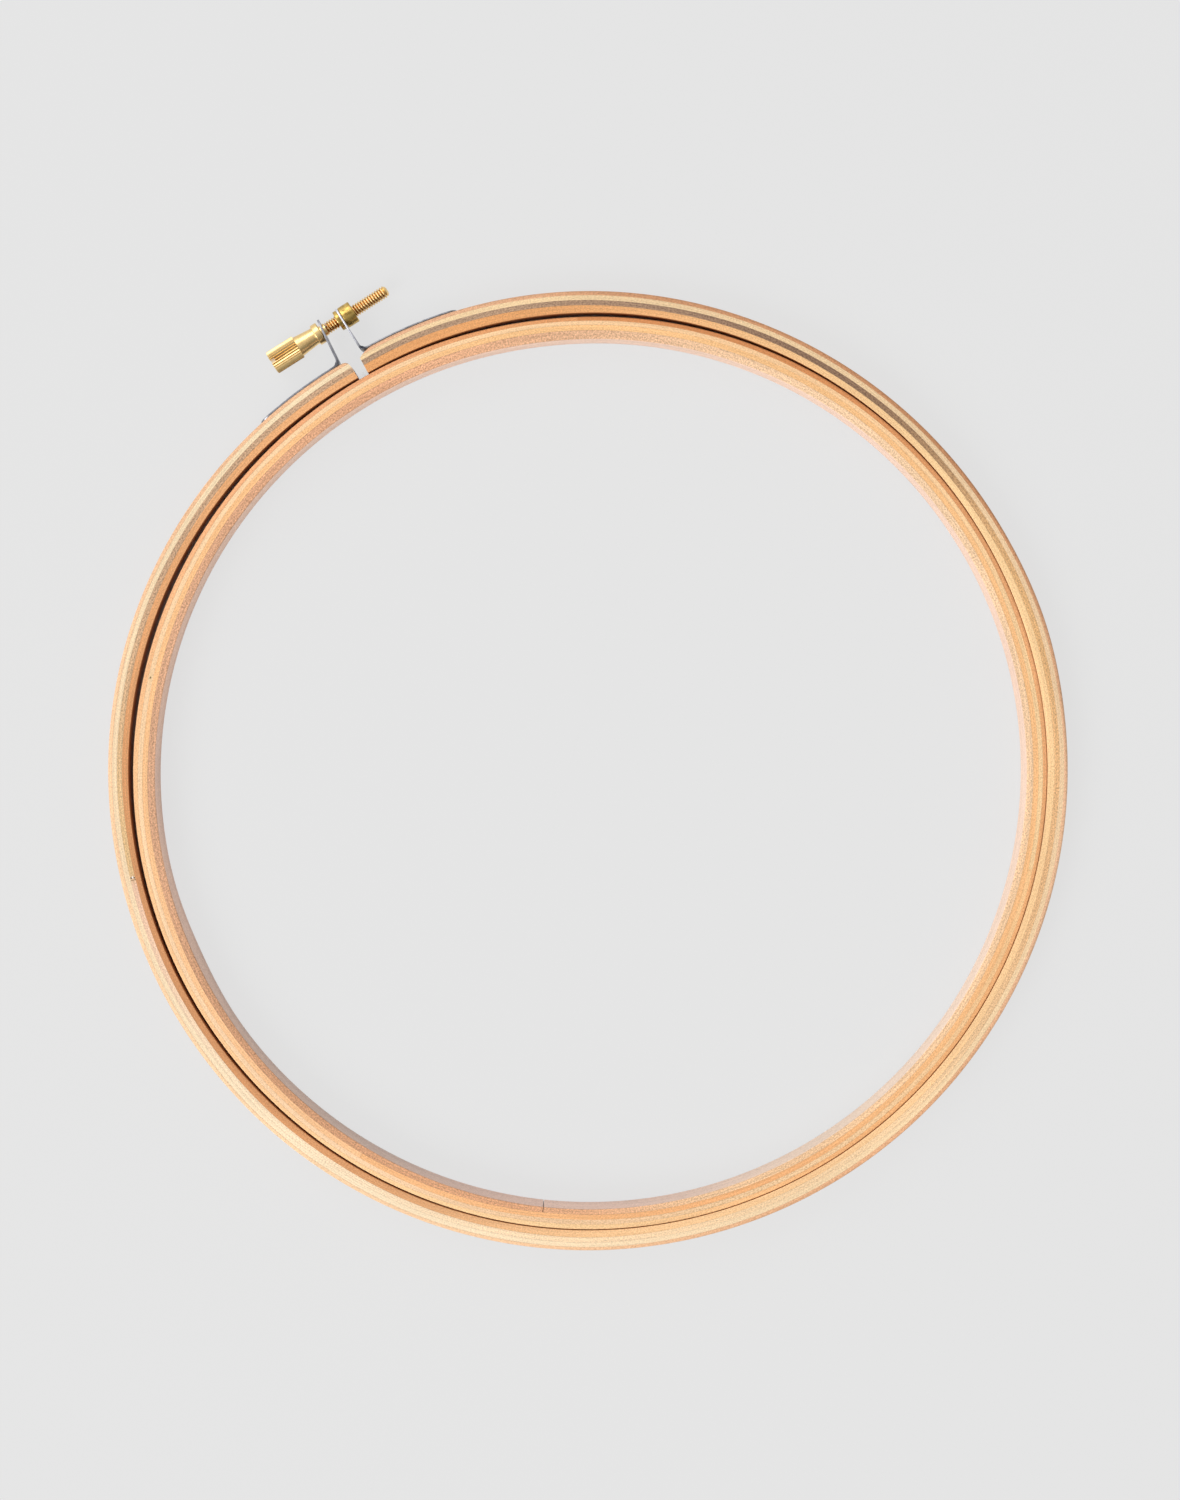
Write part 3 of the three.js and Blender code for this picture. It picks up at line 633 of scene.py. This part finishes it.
# Zinc plating is blue-grey and a little mottled. Its brightness is painted light: painted shade,
# darkest in the bend, and shares for the ears, by their hand, and the feet, with a painted highlight on
# the nut's ear
ZINC_DARK = (52, 54, 62)
ZINC_BRIGHT = (236, 236, 244)
CLOUD_WAVES = 900.0
GRIT_WAVES = 5200.0
MOTTLE = 0.2
ZINC_ROUGHNESS = (0.42, 0.28)
ZINC_RELIEF = 0.01 * MM
BEND_SHADE_CORE = 0.9 * MM
BEND_SHADE_FADE = 1.6 * MM
EAR_FROM_BEND = 1 * MM
EAR_PAINTED_LIGHT = {-1: 0.35, 1: 1.0}
FOOT_PAINTED_LIGHT = 0.25


def take_up(piece):
    """Selects one piece alone, for the next operators to work on."""
    deselect()
    piece.select_set(True)
    bpy.context.view_layer.objects.active = piece


def modify(piece, kind, **settings):
    """Gives the piece that is taken up one modifier, with its settings, and applies it."""
    modifier = piece.modifiers.new(kind.lower(), kind)
    for label, value in settings.items():
        setattr(modifier, label, value)
    bpy.ops.object.modifier_apply(modifier=modifier.name)


def ring_outside(hand, away, proud):
    """A place outside the outer ring, so many degrees from the split on +X (1) or -X (-1)."""
    radius = OUTER_RADIUS - drawn_in(-hand * away) + proud
    angle = math.radians(away)
    return Vector((hand * radius * math.sin(angle), CENTRE.y + radius * math.cos(angle), 0))


def along_screw(place):
    """A place on the screw's line, so far from its eye."""
    return SCREW_EYE + place * Vector((math.cos(SCREW_TILT), math.sin(SCREW_TILT), 0))


def bracket_line(hand, ear_place, lean, foot_end):
    """The points that a bracket's ring side follows, from its foot's end to its ear's top."""
    eye = along_screw(ear_place - hand * STRIP_THICK / 2)
    up = Vector((math.sin(lean), math.cos(lean), 0))

    # The ear's line meets the ring's outside at a corner that is found in a few steps
    away = 0.0
    for _ in range(6):
        corner = eye - up * ((eye.y - ring_outside(hand, away, FOOT_CLEAR).y) / up.y)
        away = math.degrees(math.atan2(abs(corner.x), corner.y - CENTRE.y))
    foot_start = away + math.degrees(BEND / OUTER_RADIUS)
    line = [ring_outside(hand, foot_end - (foot_end - foot_start) * n / FOOT_POINTS, FOOT_CLEAR)
            for n in range(FOOT_POINTS + 1)]
    first, last = line[-1], corner + up * BEND
    for n in range(1, BEND_POINTS + 1):
        share = n / BEND_POINTS
        line.append(first.lerp(corner, share).lerp(corner.lerp(last, share), share))
    line.append(eye + up * EAR_TOP)
    return [Vector((point.x, point.y, 0)) for point in line]


zinc_material, tree, shader = new_material("zinc_strip")
place = tree.nodes.new("ShaderNodeTexCoord").outputs["Object"]
cloud = noise(tree, place, 3.0, 0.6, CLOUD_WAVES)
grit = noise(tree, place, 2.0, 0.6, GRIT_WAVES)
clouds = ranged(tree, cloud, 0.35, 0.65)
# The bright tone's share is painted light kept at each corner, with a little real mottle over it
share = calc(tree, "MULTIPLY_ADD", clouds, MOTTLE, kept_value(tree, "painted_light")["Fac"])
feed(tree, shader.inputs["Base Color"], mixed(tree, share, tone(*ZINC_DARK), tone(*ZINC_BRIGHT)))
feed(tree, shader.inputs["Roughness"], ranged(tree, cloud, *MOST_NOISE, *ZINC_ROUGHNESS))
feed(tree, shader.inputs["Normal"], bumped(tree, grit, ZINC_RELIEF, 0.4))
shader.inputs["Metallic"].default_value = 1.0


def bent_bracket(name, hand, line, eye_place, hole_radius, edge_round):
    """A flat strip with rounded ends, laid along a line, thickened, most in its bend, and drilled."""
    reach = [0.0]
    for before, after in zip(line, line[1:]):
        reach.append(reach[-1] + (after - before).length)
    deselect()
    bpy.ops.mesh.primitive_plane_add(size=1)
    strip = bpy.context.object
    strip.scale = (reach[-1], STRIP_WIDTH, 1)
    bpy.ops.object.transform_apply()
    open_all()
    bpy.ops.mesh.select_mode(type="VERT")
    bpy.ops.mesh.bevel(offset=STRIP_CORNER, segments=STRIP_CORNER_STEPS, affect="VERTICES")
    for place in reach[1:-1]:
        bpy.ops.mesh.select_all(action="SELECT")
        bpy.ops.mesh.bisect(plane_co=(place - reach[-1] / 2, 0, 0), plane_no=(1, 0, 0))
    bpy.ops.object.mode_set(mode="OBJECT")
    bulk = strip.vertex_groups.new(name="bulk")
    for corner in strip.data.vertices:
        along = min(max(corner.co.x + reach[-1] / 2, 0.0), reach[-1] - TINY)
        n = max(index for index, value in enumerate(reach) if value <= along)
        share = (along - reach[n]) / (reach[n + 1] - reach[n])
        at = line[n].lerp(line[n + 1], share)
        corner.co = Vector((at.x, at.y, RING_TOP / 2 + corner.co.y))
        extra = bell(along, BEND_THICK - STRIP_THICK, reach[BEND_MIDDLE], BEND_SPREAD)
        bulk.add([corner.index], (STRIP_THICK + extra) / BEND_THICK, "REPLACE")
    modify(strip, "SOLIDIFY", thickness=BEND_THICK, vertex_group="bulk", offset=hand,
           use_even_offset=True)

    bpy.ops.mesh.primitive_cylinder_add(
        vertices=HOLE_STEPS, radius=hole_radius, depth=HOLE_DRILL, location=along_screw(eye_place),
        rotation=(0, math.pi / 2, SCREW_TILT))
    drill = bpy.context.object
    take_up(strip)
    modify(strip, "BOOLEAN", operation="DIFFERENCE", object=drill, solver="EXACT")
    bpy.data.objects.remove(drill)
    modify(strip, "BEVEL", width=edge_round, segments=3, limit_method="ANGLE",
           angle_limit=math.radians(50))
    settle(strip, name)
    # Painted light at each corner: painted shade darkest in the bend, fading out beyond it to each
    # ear's or foot's share
    painted_light = strip.data.attributes.new("painted_light", "FLOAT", "POINT")
    bend = line[BEND_MIDDLE]
    for corner, value in zip(strip.data.vertices, painted_light.data):
        apart = math.hypot(corner.co.x - bend.x, corner.co.y - bend.y)
        plain = EAR_PAINTED_LIGHT[hand] if corner.co.y > bend.y + EAR_FROM_BEND else FOOT_PAINTED_LIGHT
        value.value = plain * min(1.0, max(0.0, apart - BEND_SHADE_CORE) / BEND_SHADE_FADE)
    return strip


for side, (hand, ear_place, lean, foot_end, hole_radius, edge_round, body) in BRACKETS.items():
    line = bracket_line(hand, ear_place, lean, foot_end)
    bracket = bent_bracket(f"{side}_bracket_strip", hand, line, ear_place, hole_radius, edge_round)
    bracket.data.materials.append(zinc_material)
    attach(bracket, body)
    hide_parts(f"{side}_bracket")

# The nails: two short steel nails with low round heads hold each foot to the ring. They are driven
# from outside, one near the bend and one near the foot's end.
NAIL_HEAD = 1.1 * MM
NAIL_HEAD_HEIGHT = 0.4 * MM
NAIL_SHANK = 0.5 * MM
NAIL_IN_WOOD = 3.6 * MM
NAIL_POINT = 1 * MM
NAIL_RIM = 0.05 * MM
NAIL_SEAT = FOOT_CLEAR + STRIP_THICK + 0.02 * MM
DOME_TURNS = (0.35, 0.6, 0.9, 1.2, 1.4)
NAIL_UNDER = 0.97 * NAIL_HEAD
NAIL_DARK = (96, 94, 98)
NAIL_BRIGHT = (150, 150, 156)
NAIL_ROUGHNESS = (0.55, 0.35)
NAIL_RELIEF = 0.02 * MM
SPOT_WAVES = 2600.0
LOOK_ALONG = 0.05
NAIL_FROM_SPLIT = math.degrees(9 * MM / OUTER_RADIUS)
NAIL_FROM_END = math.degrees(3 * MM / OUTER_RADIUS)
ROUND_STEPS = 4
POLE_WELD = 0.002 * MM


def turned(name, profile, steps=96):
    """A turned piece about X, from the (place along X, radius) points of its closed outline."""
    deselect()
    bpy.ops.mesh.primitive_circle_add(vertices=len(profile), radius=1 * MM, fill_type="NOTHING")
    piece = bpy.context.object
    for corner, (along, radius) in zip(piece.data.vertices, profile):
        corner.co = Vector((along, 0, radius))
    open_all()
    bpy.ops.mesh.spin(steps=steps, angle=math.tau, center=(0, 0, 0), axis=(1, 0, 0))
    bpy.ops.mesh.select_all(action="SELECT")
    bpy.ops.mesh.remove_doubles(threshold=POLE_WELD)
    bpy.ops.object.mode_set(mode="OBJECT")
    settle(piece, name)
    return piece


def rounded(start, end, radius, ease):
    """Profile points of a round bar from one place to another, with eased ends."""
    turns = [math.pi / 2 * n / ROUND_STEPS for n in range(ROUND_STEPS + 1)]
    left = [(start + ease * (1 - math.cos(t)), radius - ease * (1 - math.sin(t))) for t in turns]
    right = [(end - ease * (1 - math.sin(t)), radius - ease * (1 - math.cos(t))) for t in turns]
    return left + right


def stand(piece, place, turn):
    """Puts a piece made about X at its place, turned about Z, and applies it."""
    piece.location = place
    piece.rotation_euler = (0, 0, turn)
    take_up(piece)
    bpy.ops.object.transform_apply()


dome = [(NAIL_SEAT + NAIL_HEAD_HEIGHT * math.sin(t), NAIL_HEAD * math.cos(t)) for t in DOME_TURNS]
nail_profile = [(-NAIL_IN_WOOD, 0), (-NAIL_IN_WOOD + NAIL_POINT, NAIL_SHANK),
                (NAIL_SEAT, NAIL_SHANK), (NAIL_SEAT, NAIL_UNDER),
                (NAIL_SEAT + NAIL_RIM, NAIL_HEAD), *dome, (NAIL_SEAT + NAIL_HEAD_HEIGHT, 0)]
nail_material, tree, shader = new_material("steel_nail")
spots = noise(tree, tree.nodes.new("ShaderNodeTexCoord").outputs["Object"], 3.0, 0.6, SPOT_WAVES)
feed(tree, shader.inputs["Base Color"],
     mixed(tree, ranged(tree, spots, 0.4, 0.62), tone(*NAIL_DARK), tone(*NAIL_BRIGHT)))
feed(tree, shader.inputs["Roughness"], ranged(tree, spots, *MOST_NOISE, *NAIL_ROUGHNESS))
feed(tree, shader.inputs["Normal"], bumped(tree, spots, NAIL_RELIEF, 0.5))
shader.inputs["Metallic"].default_value = 1.0

for side, (hand, _, _, foot_end, _, _, body) in BRACKETS.items():
    for number, away in ((1, NAIL_FROM_SPLIT), (2, foot_end - NAIL_FROM_END)):
        ahead = ring_outside(hand, away + LOOK_ALONG, 0) - ring_outside(hand, away - LOOK_ALONG, 0)
        facing = math.atan2(hand * ahead.x, -hand * ahead.y)
        nail = turned(f"{side}_bracket_nail_{number}", nail_profile, 32)
        stand(nail, ring_outside(hand, away, 0) + Vector((0, 0, RING_TOP / 2)), facing)
        nail.data.materials.append(nail_material)
        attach(nail, body)
        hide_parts(f"{side}_nail_{number}")

# The nut: turned brass, riveted into its ear. A thin flange lies on the ear's split side and a thick
# round body on its other side, with the threaded bore right through.
SCREW_CREST = 1.73 * MM
THREAD_CUT = 0.42 * MM
THREAD_PITCH = 0.77 * MM
NUT_BORE = SCREW_CREST + 0.3 * MM
BORE_MOUTH = 0.25 * MM
NUT_NECK = 2.4 * MM
NUT_OFF_EAR = 0.06 * MM
NUT_SHOULDERS = (NUT_EAR - STRIP_THICK / 2 - NUT_OFF_EAR, NUT_EAR + STRIP_THICK / 2 + NUT_OFF_EAR)
NUT_START = NUT_SHOULDERS[0] - 1.0 * MM
NUT_END = NUT_SHOULDERS[1] + 3.5 * MM
FLANGE_RADIUS = 2.85 * MM
FLANGE_EASE = 0.12 * MM
BODY_RADIUS = 3.08 * MM
BODY_EASE = 0.3 * MM
NUT_RELIEF = 0.006 * MM
TARNISH_WAVES = (520.0, 900.0, 900.0)
TURNING_WAVES = (9000.0, 300.0, 300.0)
TURNED_ROUGHNESS = (0.16, 0.28)
TARNISH_DULLING = 0.2
GROOVE_DEPTHS = (0.25, 0.95)
GROOVE_DARKEST = 0.85


def tarnish_group():
    """Handled brass: cloudy darker and duller patches over fine turning lines about X."""
    tree, given, gives = new_group(
        "tarnish", [("Place", "Vector"), ("Clean", "Color"), ("Dull", "Color"), ("Amount", "Float")],
        [("Color", "Color"), ("Roughness", "Float"), ("Height", "Float")])
    cloud = noise(tree, times(tree, given.outputs["Place"], TARNISH_WAVES), 3.0, 0.62)
    lines = noise(tree, times(tree, given.outputs["Place"], TURNING_WAVES))
    share = calc(tree, "MULTIPLY", ranged(tree, cloud, 0.4, 0.68), given.outputs["Amount"])
    feed(tree, gives.inputs["Color"], mixed(tree, share, given.outputs["Clean"], given.outputs["Dull"]))
    rough = ranged(tree, lines, *MOST_NOISE, *TURNED_ROUGHNESS)
    rough = calc(tree, "MULTIPLY_ADD", share, TARNISH_DULLING, rough)
    feed(tree, gives.inputs["Roughness"], rough)
    feed(tree, gives.inputs["Height"], lines)
    return tree


TARNISH = tarnish_group()


def brass(name, clean, dull, amount, groove_shade_tone, relief):
    """Brass of two tones, in part dull, with painted shade where its grooves are deep."""
    material, tree, shader = new_material(name)
    centring = tree.nodes.new("ShaderNodeMapping")
    centring.vector_type = "TEXTURE"
    centring.inputs["Location"].default_value = SCREW_EYE
    centring.inputs["Rotation"].default_value = (0, 0, SCREW_TILT)
    feed(tree, centring.inputs["Vector"], tree.nodes.new("ShaderNodeTexCoord").outputs["Object"])
    look = use_group(tree, TARNISH, Place=centring.outputs[0], Clean=tone(*clean), Dull=tone(*dull),
                     Amount=amount)
    groove = kept_value(tree, "groove")["Fac"]
    # Painted shade: the knob's ridges and the thread's roots darken by how deep each corner lies in its
    # groove
    share = ranged(tree, groove, *GROOVE_DEPTHS, 0.0, GROOVE_DARKEST)
    feed(tree, shader.inputs["Base Color"], mixed(tree, share, look["Color"], tone(*groove_shade_tone)))
    feed(tree, shader.inputs["Roughness"], look["Roughness"])
    feed(tree, shader.inputs["Normal"], bumped(tree, look["Height"], relief, 0.3))
    shader.inputs["Metallic"].default_value = 1.0
    return material


nut = turned("turned_nut", [
    *rounded(NUT_START, NUT_SHOULDERS[0], FLANGE_RADIUS, FLANGE_EASE), (NUT_SHOULDERS[0], NUT_NECK),
    (NUT_SHOULDERS[1], NUT_NECK), *rounded(NUT_SHOULDERS[1], NUT_END, BODY_RADIUS, BODY_EASE),
    (NUT_END, NUT_BORE + BORE_MOUTH), (NUT_END - BORE_MOUTH, NUT_BORE),
    (NUT_START + BORE_MOUTH, NUT_BORE), (NUT_START, NUT_BORE + BORE_MOUTH)])
stand(nut, SCREW_EYE, SCREW_TILT)
nut.data.materials.append(
    brass("nut_brass", clean=(228, 192, 110), dull=(128, 100, 48), amount=0.85,
          groove_shade_tone=(96, 66, 28), relief=NUT_RELIEF))
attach(nut, "outer_ring_nut_side")
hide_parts("clamp_nut")

# The clamp screw: one piece of brass. Its ridged knob has a slot for a coin, a cone leads from it to
# the collar that bears on the free ear, and its thread runs through the nut to a rounded tip.
COLLAR_FACE = -4.2 * MM
COLLAR_START = COLLAR_FACE - 1.8 * MM
COLLAR_RADIUS = 3.0 * MM
COLLAR_EASE = 0.22 * MM
KNOB_FACE = COLLAR_START - 5.6 * MM
CONE_WIDE = 2.88 * MM
CONE_NARROW = 2.38 * MM
CONE_FLARE = (0.5 * MM, 2.45 * MM)
KNOB_END = KNOB_FACE - 8.4 * MM
KNOB_RADIUS = 3.3 * MM
KNOB_EASE = 0.5 * MM
KNOB_BEVEL = 0.12 * MM
KNOB_RIDGES = 28
RIDGE_CUT = 0.3 * MM
RIDGE_STEPS = (0, 0.5, 1, 0.5)
ENVELOPE_CLEAR = 0.02 * MM
SLOT_DEPTH = 1.3 * MM
SLOT_WIDTH = 1.0 * MM
RIDGE_ENDS = (KNOB_END + 0.3 * MM, KNOB_FACE - 0.05 * MM)
SHANK_IN_KNOB = 0.3 * MM
SHANK_TAPER = 0.08 * MM
THREAD_START = COLLAR_FACE + 1.5 * MM
THREAD_LAP = 0.2 * MM
THREAD_STEPS = 32
SCREW_TIP = 17.2 * MM
TIP_ROUND = 1.25 * MM
SCREW_RELIEF = 0.004 * MM

deselect()
bpy.ops.mesh.primitive_cylinder_add(
    vertices=len(RIDGE_STEPS) * KNOB_RIDGES, radius=KNOB_RADIUS, depth=KNOB_FACE - KNOB_END,
    location=((KNOB_FACE + KNOB_END) / 2, 0, 0), rotation=(0, math.pi / 2, 0))
knob = bpy.context.object
bpy.ops.object.transform_apply()
for corner in knob.data.vertices:
    share = (math.atan2(corner.co.z, corner.co.y) / math.tau * KNOB_RIDGES) % 1
    step = RIDGE_STEPS[round(share * len(RIDGE_STEPS)) % len(RIDGE_STEPS)]
    left = 1 - RIDGE_CUT * step / math.hypot(corner.co.y, corner.co.z)
    corner.co.y *= left
    corner.co.z *= left

# Its ends are rounded by an envelope that it is kept within, and a bar cuts its slot
widest = KNOB_RADIUS + ENVELOPE_CLEAR
envelope = turned("knob_envelope", [
    (KNOB_END, 0), *rounded(KNOB_END, KNOB_FACE, widest, KNOB_EASE)[:ROUND_STEPS + 1],
    (KNOB_FACE - KNOB_BEVEL, widest), (KNOB_FACE, widest - KNOB_BEVEL), (KNOB_FACE, 0)])
deselect()
bpy.ops.mesh.primitive_cube_add(size=1, location=(KNOB_END, 0, 0))
slot_cutter = bpy.context.object
slot_cutter.scale = (2 * SLOT_DEPTH, SLOT_WIDTH, 3 * KNOB_RADIUS)
bpy.ops.object.transform_apply()
take_up(knob)
for operation, tool in (("INTERSECT", envelope), ("DIFFERENCE", slot_cutter)):
    modify(knob, "BOOLEAN", operation=operation, object=tool, solver="EXACT")
    bpy.data.objects.remove(tool)
settle(knob, "screw_knob", 25.0)


def mark_grooves(piece, crest, depth, start, end):
    """Keeps how deep in a groove each corner lies, for a stretch of a piece about X."""
    groove = piece.data.attributes.new("groove", "FLOAT", "POINT")
    for corner, value in zip(piece.data.vertices, groove.data):
        low = (crest - math.hypot(corner.co.y, corner.co.z)) / depth
        value.value = min(max(low, 0.0), 1.0) if start < corner.co.x < end else 0.0


mark_grooves(knob, KNOB_RADIUS, RIDGE_CUT, *RIDGE_ENDS)

shank = turned("screw_shank", [
    (KNOB_FACE - SHANK_IN_KNOB, 0), (KNOB_FACE - SHANK_IN_KNOB, CONE_WIDE - SHANK_TAPER),
    (KNOB_FACE, CONE_WIDE), (COLLAR_START - CONE_FLARE[0], CONE_NARROW),
    (COLLAR_START, CONE_FLARE[1]), *rounded(COLLAR_START, COLLAR_FACE, COLLAR_RADIUS, COLLAR_EASE),
    (COLLAR_FACE, SCREW_CREST), (THREAD_START + THREAD_LAP, SCREW_CREST),
    (THREAD_START + 2 * THREAD_LAP, SCREW_CREST - THREAD_CUT), (THREAD_START + 2 * THREAD_LAP, 0)])

# One pitch of the thread is drawn as a line, and the screw modifier runs it round and along
tooth = [(0, 1), (0.14, 0.93), (0.42, 0.07), (0.5, 0), (0.58, 0.07), (0.86, 0.93), (1, 1)]
deselect()
bpy.ops.mesh.primitive_circle_add(vertices=len(tooth), radius=1 * MM, fill_type="NOTHING")
thread = bpy.context.object
for corner, (share, crest) in zip(thread.data.vertices, tooth):
    low = THREAD_CUT * (1 - crest)
    corner.co = Vector((THREAD_START + share * THREAD_PITCH, 0, SCREW_CREST - low))
bpy.ops.object.mode_set(mode="EDIT")
bpy.ops.mesh.select_mode(type="EDGE")
bpy.ops.mesh.select_all(action="DESELECT")
bpy.ops.object.mode_set(mode="OBJECT")
for edge in thread.data.edges:
    edge.select = set(edge.vertices) == {0, len(tooth) - 1}
bpy.ops.object.mode_set(mode="EDIT")
bpy.ops.mesh.delete(type="EDGE")
bpy.ops.object.mode_set(mode="OBJECT")
modify(thread, "SCREW", axis="X", screw_offset=THREAD_PITCH, steps=THREAD_STEPS,
       render_steps=THREAD_STEPS, iterations=math.ceil((SCREW_TIP - THREAD_START) / THREAD_PITCH),
       use_merge_vertices=True, merge_threshold=POLE_WELD)

# The tip is rounded off, and the thread's two open ends are closed
for corner in thread.data.vertices:
    near = min(max((SCREW_TIP - corner.co.x) / TIP_ROUND, 0.0), 1.0)
    limit = SCREW_CREST - TIP_ROUND * set_back(1 - near, 2)
    radius = math.hypot(corner.co.y, corner.co.z)
    if radius > limit:
        corner.co.y *= limit / radius
        corner.co.z *= limit / radius
    corner.co.x = min(corner.co.x, SCREW_TIP)
open_all()
bpy.ops.mesh.select_mode(type="VERT")
bpy.ops.mesh.remove_doubles(threshold=POLE_WELD)
bpy.ops.mesh.select_all(action="DESELECT")
bpy.ops.mesh.select_non_manifold()
bpy.ops.mesh.fill_holes(sides=0)
bpy.ops.object.mode_set(mode="OBJECT")
settle(thread, "screw_thread", 50.0)
mark_grooves(thread, SCREW_CREST, THREAD_CUT, THREAD_START, SCREW_TIP - TIP_ROUND)

screw_material = brass("screw_brass", clean=(255, 221, 156), dull=(204, 146, 78), amount=0.35,
                       groove_shade_tone=(184, 112, 46), relief=SCREW_RELIEF)
for piece in (knob, shank, thread):
    stand(piece, SCREW_EYE, SCREW_TILT)
    piece.data.materials.append(screw_material)
    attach(piece, "clamp_screw")
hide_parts("clamp_screw")
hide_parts("clamp_screw")
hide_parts("clamp_screw")

# The floor: plain pale paper, just under the hoop. It keeps a faint shadow of the hoop, and it is dark
# in the narrow gap between the rings, where little light comes, as painted shade that dims its glow.
FLOOR_TONE = (229, 229, 229)
FLOOR_SIZE = 6
FLOOR_DROP = 0.05 * MM
FLOOR_PLAIN = 0.88
GAP_DARK = (0.03, 0.12)
deselect()
bpy.ops.mesh.primitive_plane_add(size=FLOOR_SIZE, location=(0, 0, -FLOOR_DROP))
floor = bpy.context.object
floor.name = "floor"
floor_material, tree, shader = new_material("floor_paper")
shader.inputs["Base Color"].default_value = tone(*FLOOR_TONE)
shader.inputs["Roughness"].default_value = 0.9
shader.inputs["Specular IOR Level"].default_value = 0.1
plain = tree.nodes.new("ShaderNodeEmission")
plain.inputs["Color"].default_value = tone(*FLOOR_TONE)
sight = tree.nodes.new("ShaderNodeLightPath").outputs
seen = calc(tree, "MAXIMUM", sight["Is Camera Ray"],
            calc(tree, "MAXIMUM", sight["Is Glossy Ray"], sight["Is Transmission Ray"]))
# Painted shade: an occlusion mask dims the floor's glow where the hoop stands close round it
cover = tree.nodes.new("ShaderNodeAmbientOcclusion")
cover.samples = 16
cover.inputs["Distance"].default_value = RING_TOP
feed(tree, plain.inputs["Strength"], ranged(tree, cover.outputs["AO"], *GAP_DARK))
blend = tree.nodes.new("ShaderNodeMixShader")
feed(tree, blend.inputs[0], calc(tree, "MULTIPLY", seen, FLOOR_PLAIN))
feed(tree, blend.inputs[1], shader.outputs[0])
feed(tree, blend.inputs[2], plain.outputs[0])
feed(tree, tree.nodes["Material Output"].inputs["Surface"], blend.outputs[0])
floor.data.materials.append(floor_material)

# The light: an even pale room, which the camera sees a little brighter, and which metal mirrors
# brighter beyond the screw than before it. A wide soft lamp stands on the free side, and another
# beyond the screw.
ROOM_LIGHT = 0.53
ROOM_SEEN = 0.85
MIRRORED_WAY = (-0.25, 0.97, 0)
MIRRORED_REACH = (-0.7, 0.6)
MIRRORED_LIGHT = (0.25, 0.98)
world = bpy.data.worlds.new("room")
bpy.context.scene.world = world
world.use_nodes = True
room = world.node_tree.nodes["Background"]
room.inputs["Color"].default_value = (1, 1, 1, 1)
tree = world.node_tree
sight = tree.nodes.new("ShaderNodeLightPath").outputs
way = tree.nodes.new("ShaderNodeVectorMath")
way.operation = "DOT_PRODUCT"
feed(tree, way.inputs[0], tree.nodes.new("ShaderNodeTexCoord").outputs["Generated"])
feed(tree, way.inputs[1], MIRRORED_WAY)
wall = ranged(tree, way.outputs["Value"], *MIRRORED_REACH, *MIRRORED_LIGHT)
mirrored = calc(tree, "MAXIMUM", sight["Is Glossy Ray"], sight["Is Transmission Ray"])
strength = ranged(tree, sight["Is Camera Ray"], 0.0, 1.0, ROOM_LIGHT, ROOM_SEEN)
feed(tree, room.inputs["Strength"], ranged(tree, mirrored, 0.0, 1.0, strength, wall))


def soft_lamp(name, direction, distance, size, power):
    """A square lamp that looks at the hoop's middle from one direction."""
    lamp = bpy.data.lights.new(name, "AREA")
    lamp.shape = "SQUARE"
    lamp.size = size
    lamp.energy = power
    holder = bpy.data.objects.new(name, lamp)
    bpy.context.scene.collection.objects.link(holder)
    holder.location = Vector(direction).normalized() * distance
    holder.rotation_euler = (-holder.location).to_track_quat("-Z", "Y").to_euler()


soft_lamp("key", (-0.955, -0.262, 0.95), distance=2.8, size=1.8, power=42.0)
soft_lamp("fill", (-0.27, 0.96, 0.9), distance=2.8, size=2.0, power=20.0)

# The camera looks straight down from above the hoop, turned so that the screw comes to the upper
# left. Its place beside the hoop's centre and its shifts set the hoop in the picture.
CAMERA_TURN = math.radians(-29.65)
CAMERA_HEIGHT = 0.719
CAMERA_LEFT = 0.78 * MM
CAMERA_UP = 27.5 * MM
CAMERA_LENS = 62.88
CAMERA_SHIFTS = (0.0033, -0.054)
across = Vector((math.cos(CAMERA_TURN), math.sin(CAMERA_TURN), 0))
upwards = Vector((-across.y, across.x, 0))
camera_data = bpy.data.cameras.new("camera")
camera_data.sensor_fit = "VERTICAL"
camera_data.sensor_height = 36
camera_data.lens = CAMERA_LENS
camera_data.shift_x, camera_data.shift_y = CAMERA_SHIFTS
camera = bpy.data.objects.new("camera", camera_data)
bpy.context.scene.collection.objects.link(camera)
camera.location = CENTRE - across * CAMERA_LEFT + upwards * CAMERA_UP
camera.location.z = CAMERA_HEIGHT
camera.rotation_euler = (0, 0, CAMERA_TURN)
bpy.context.scene.camera = camera

bpy.context.scene.view_settings.view_transform = "Standard"
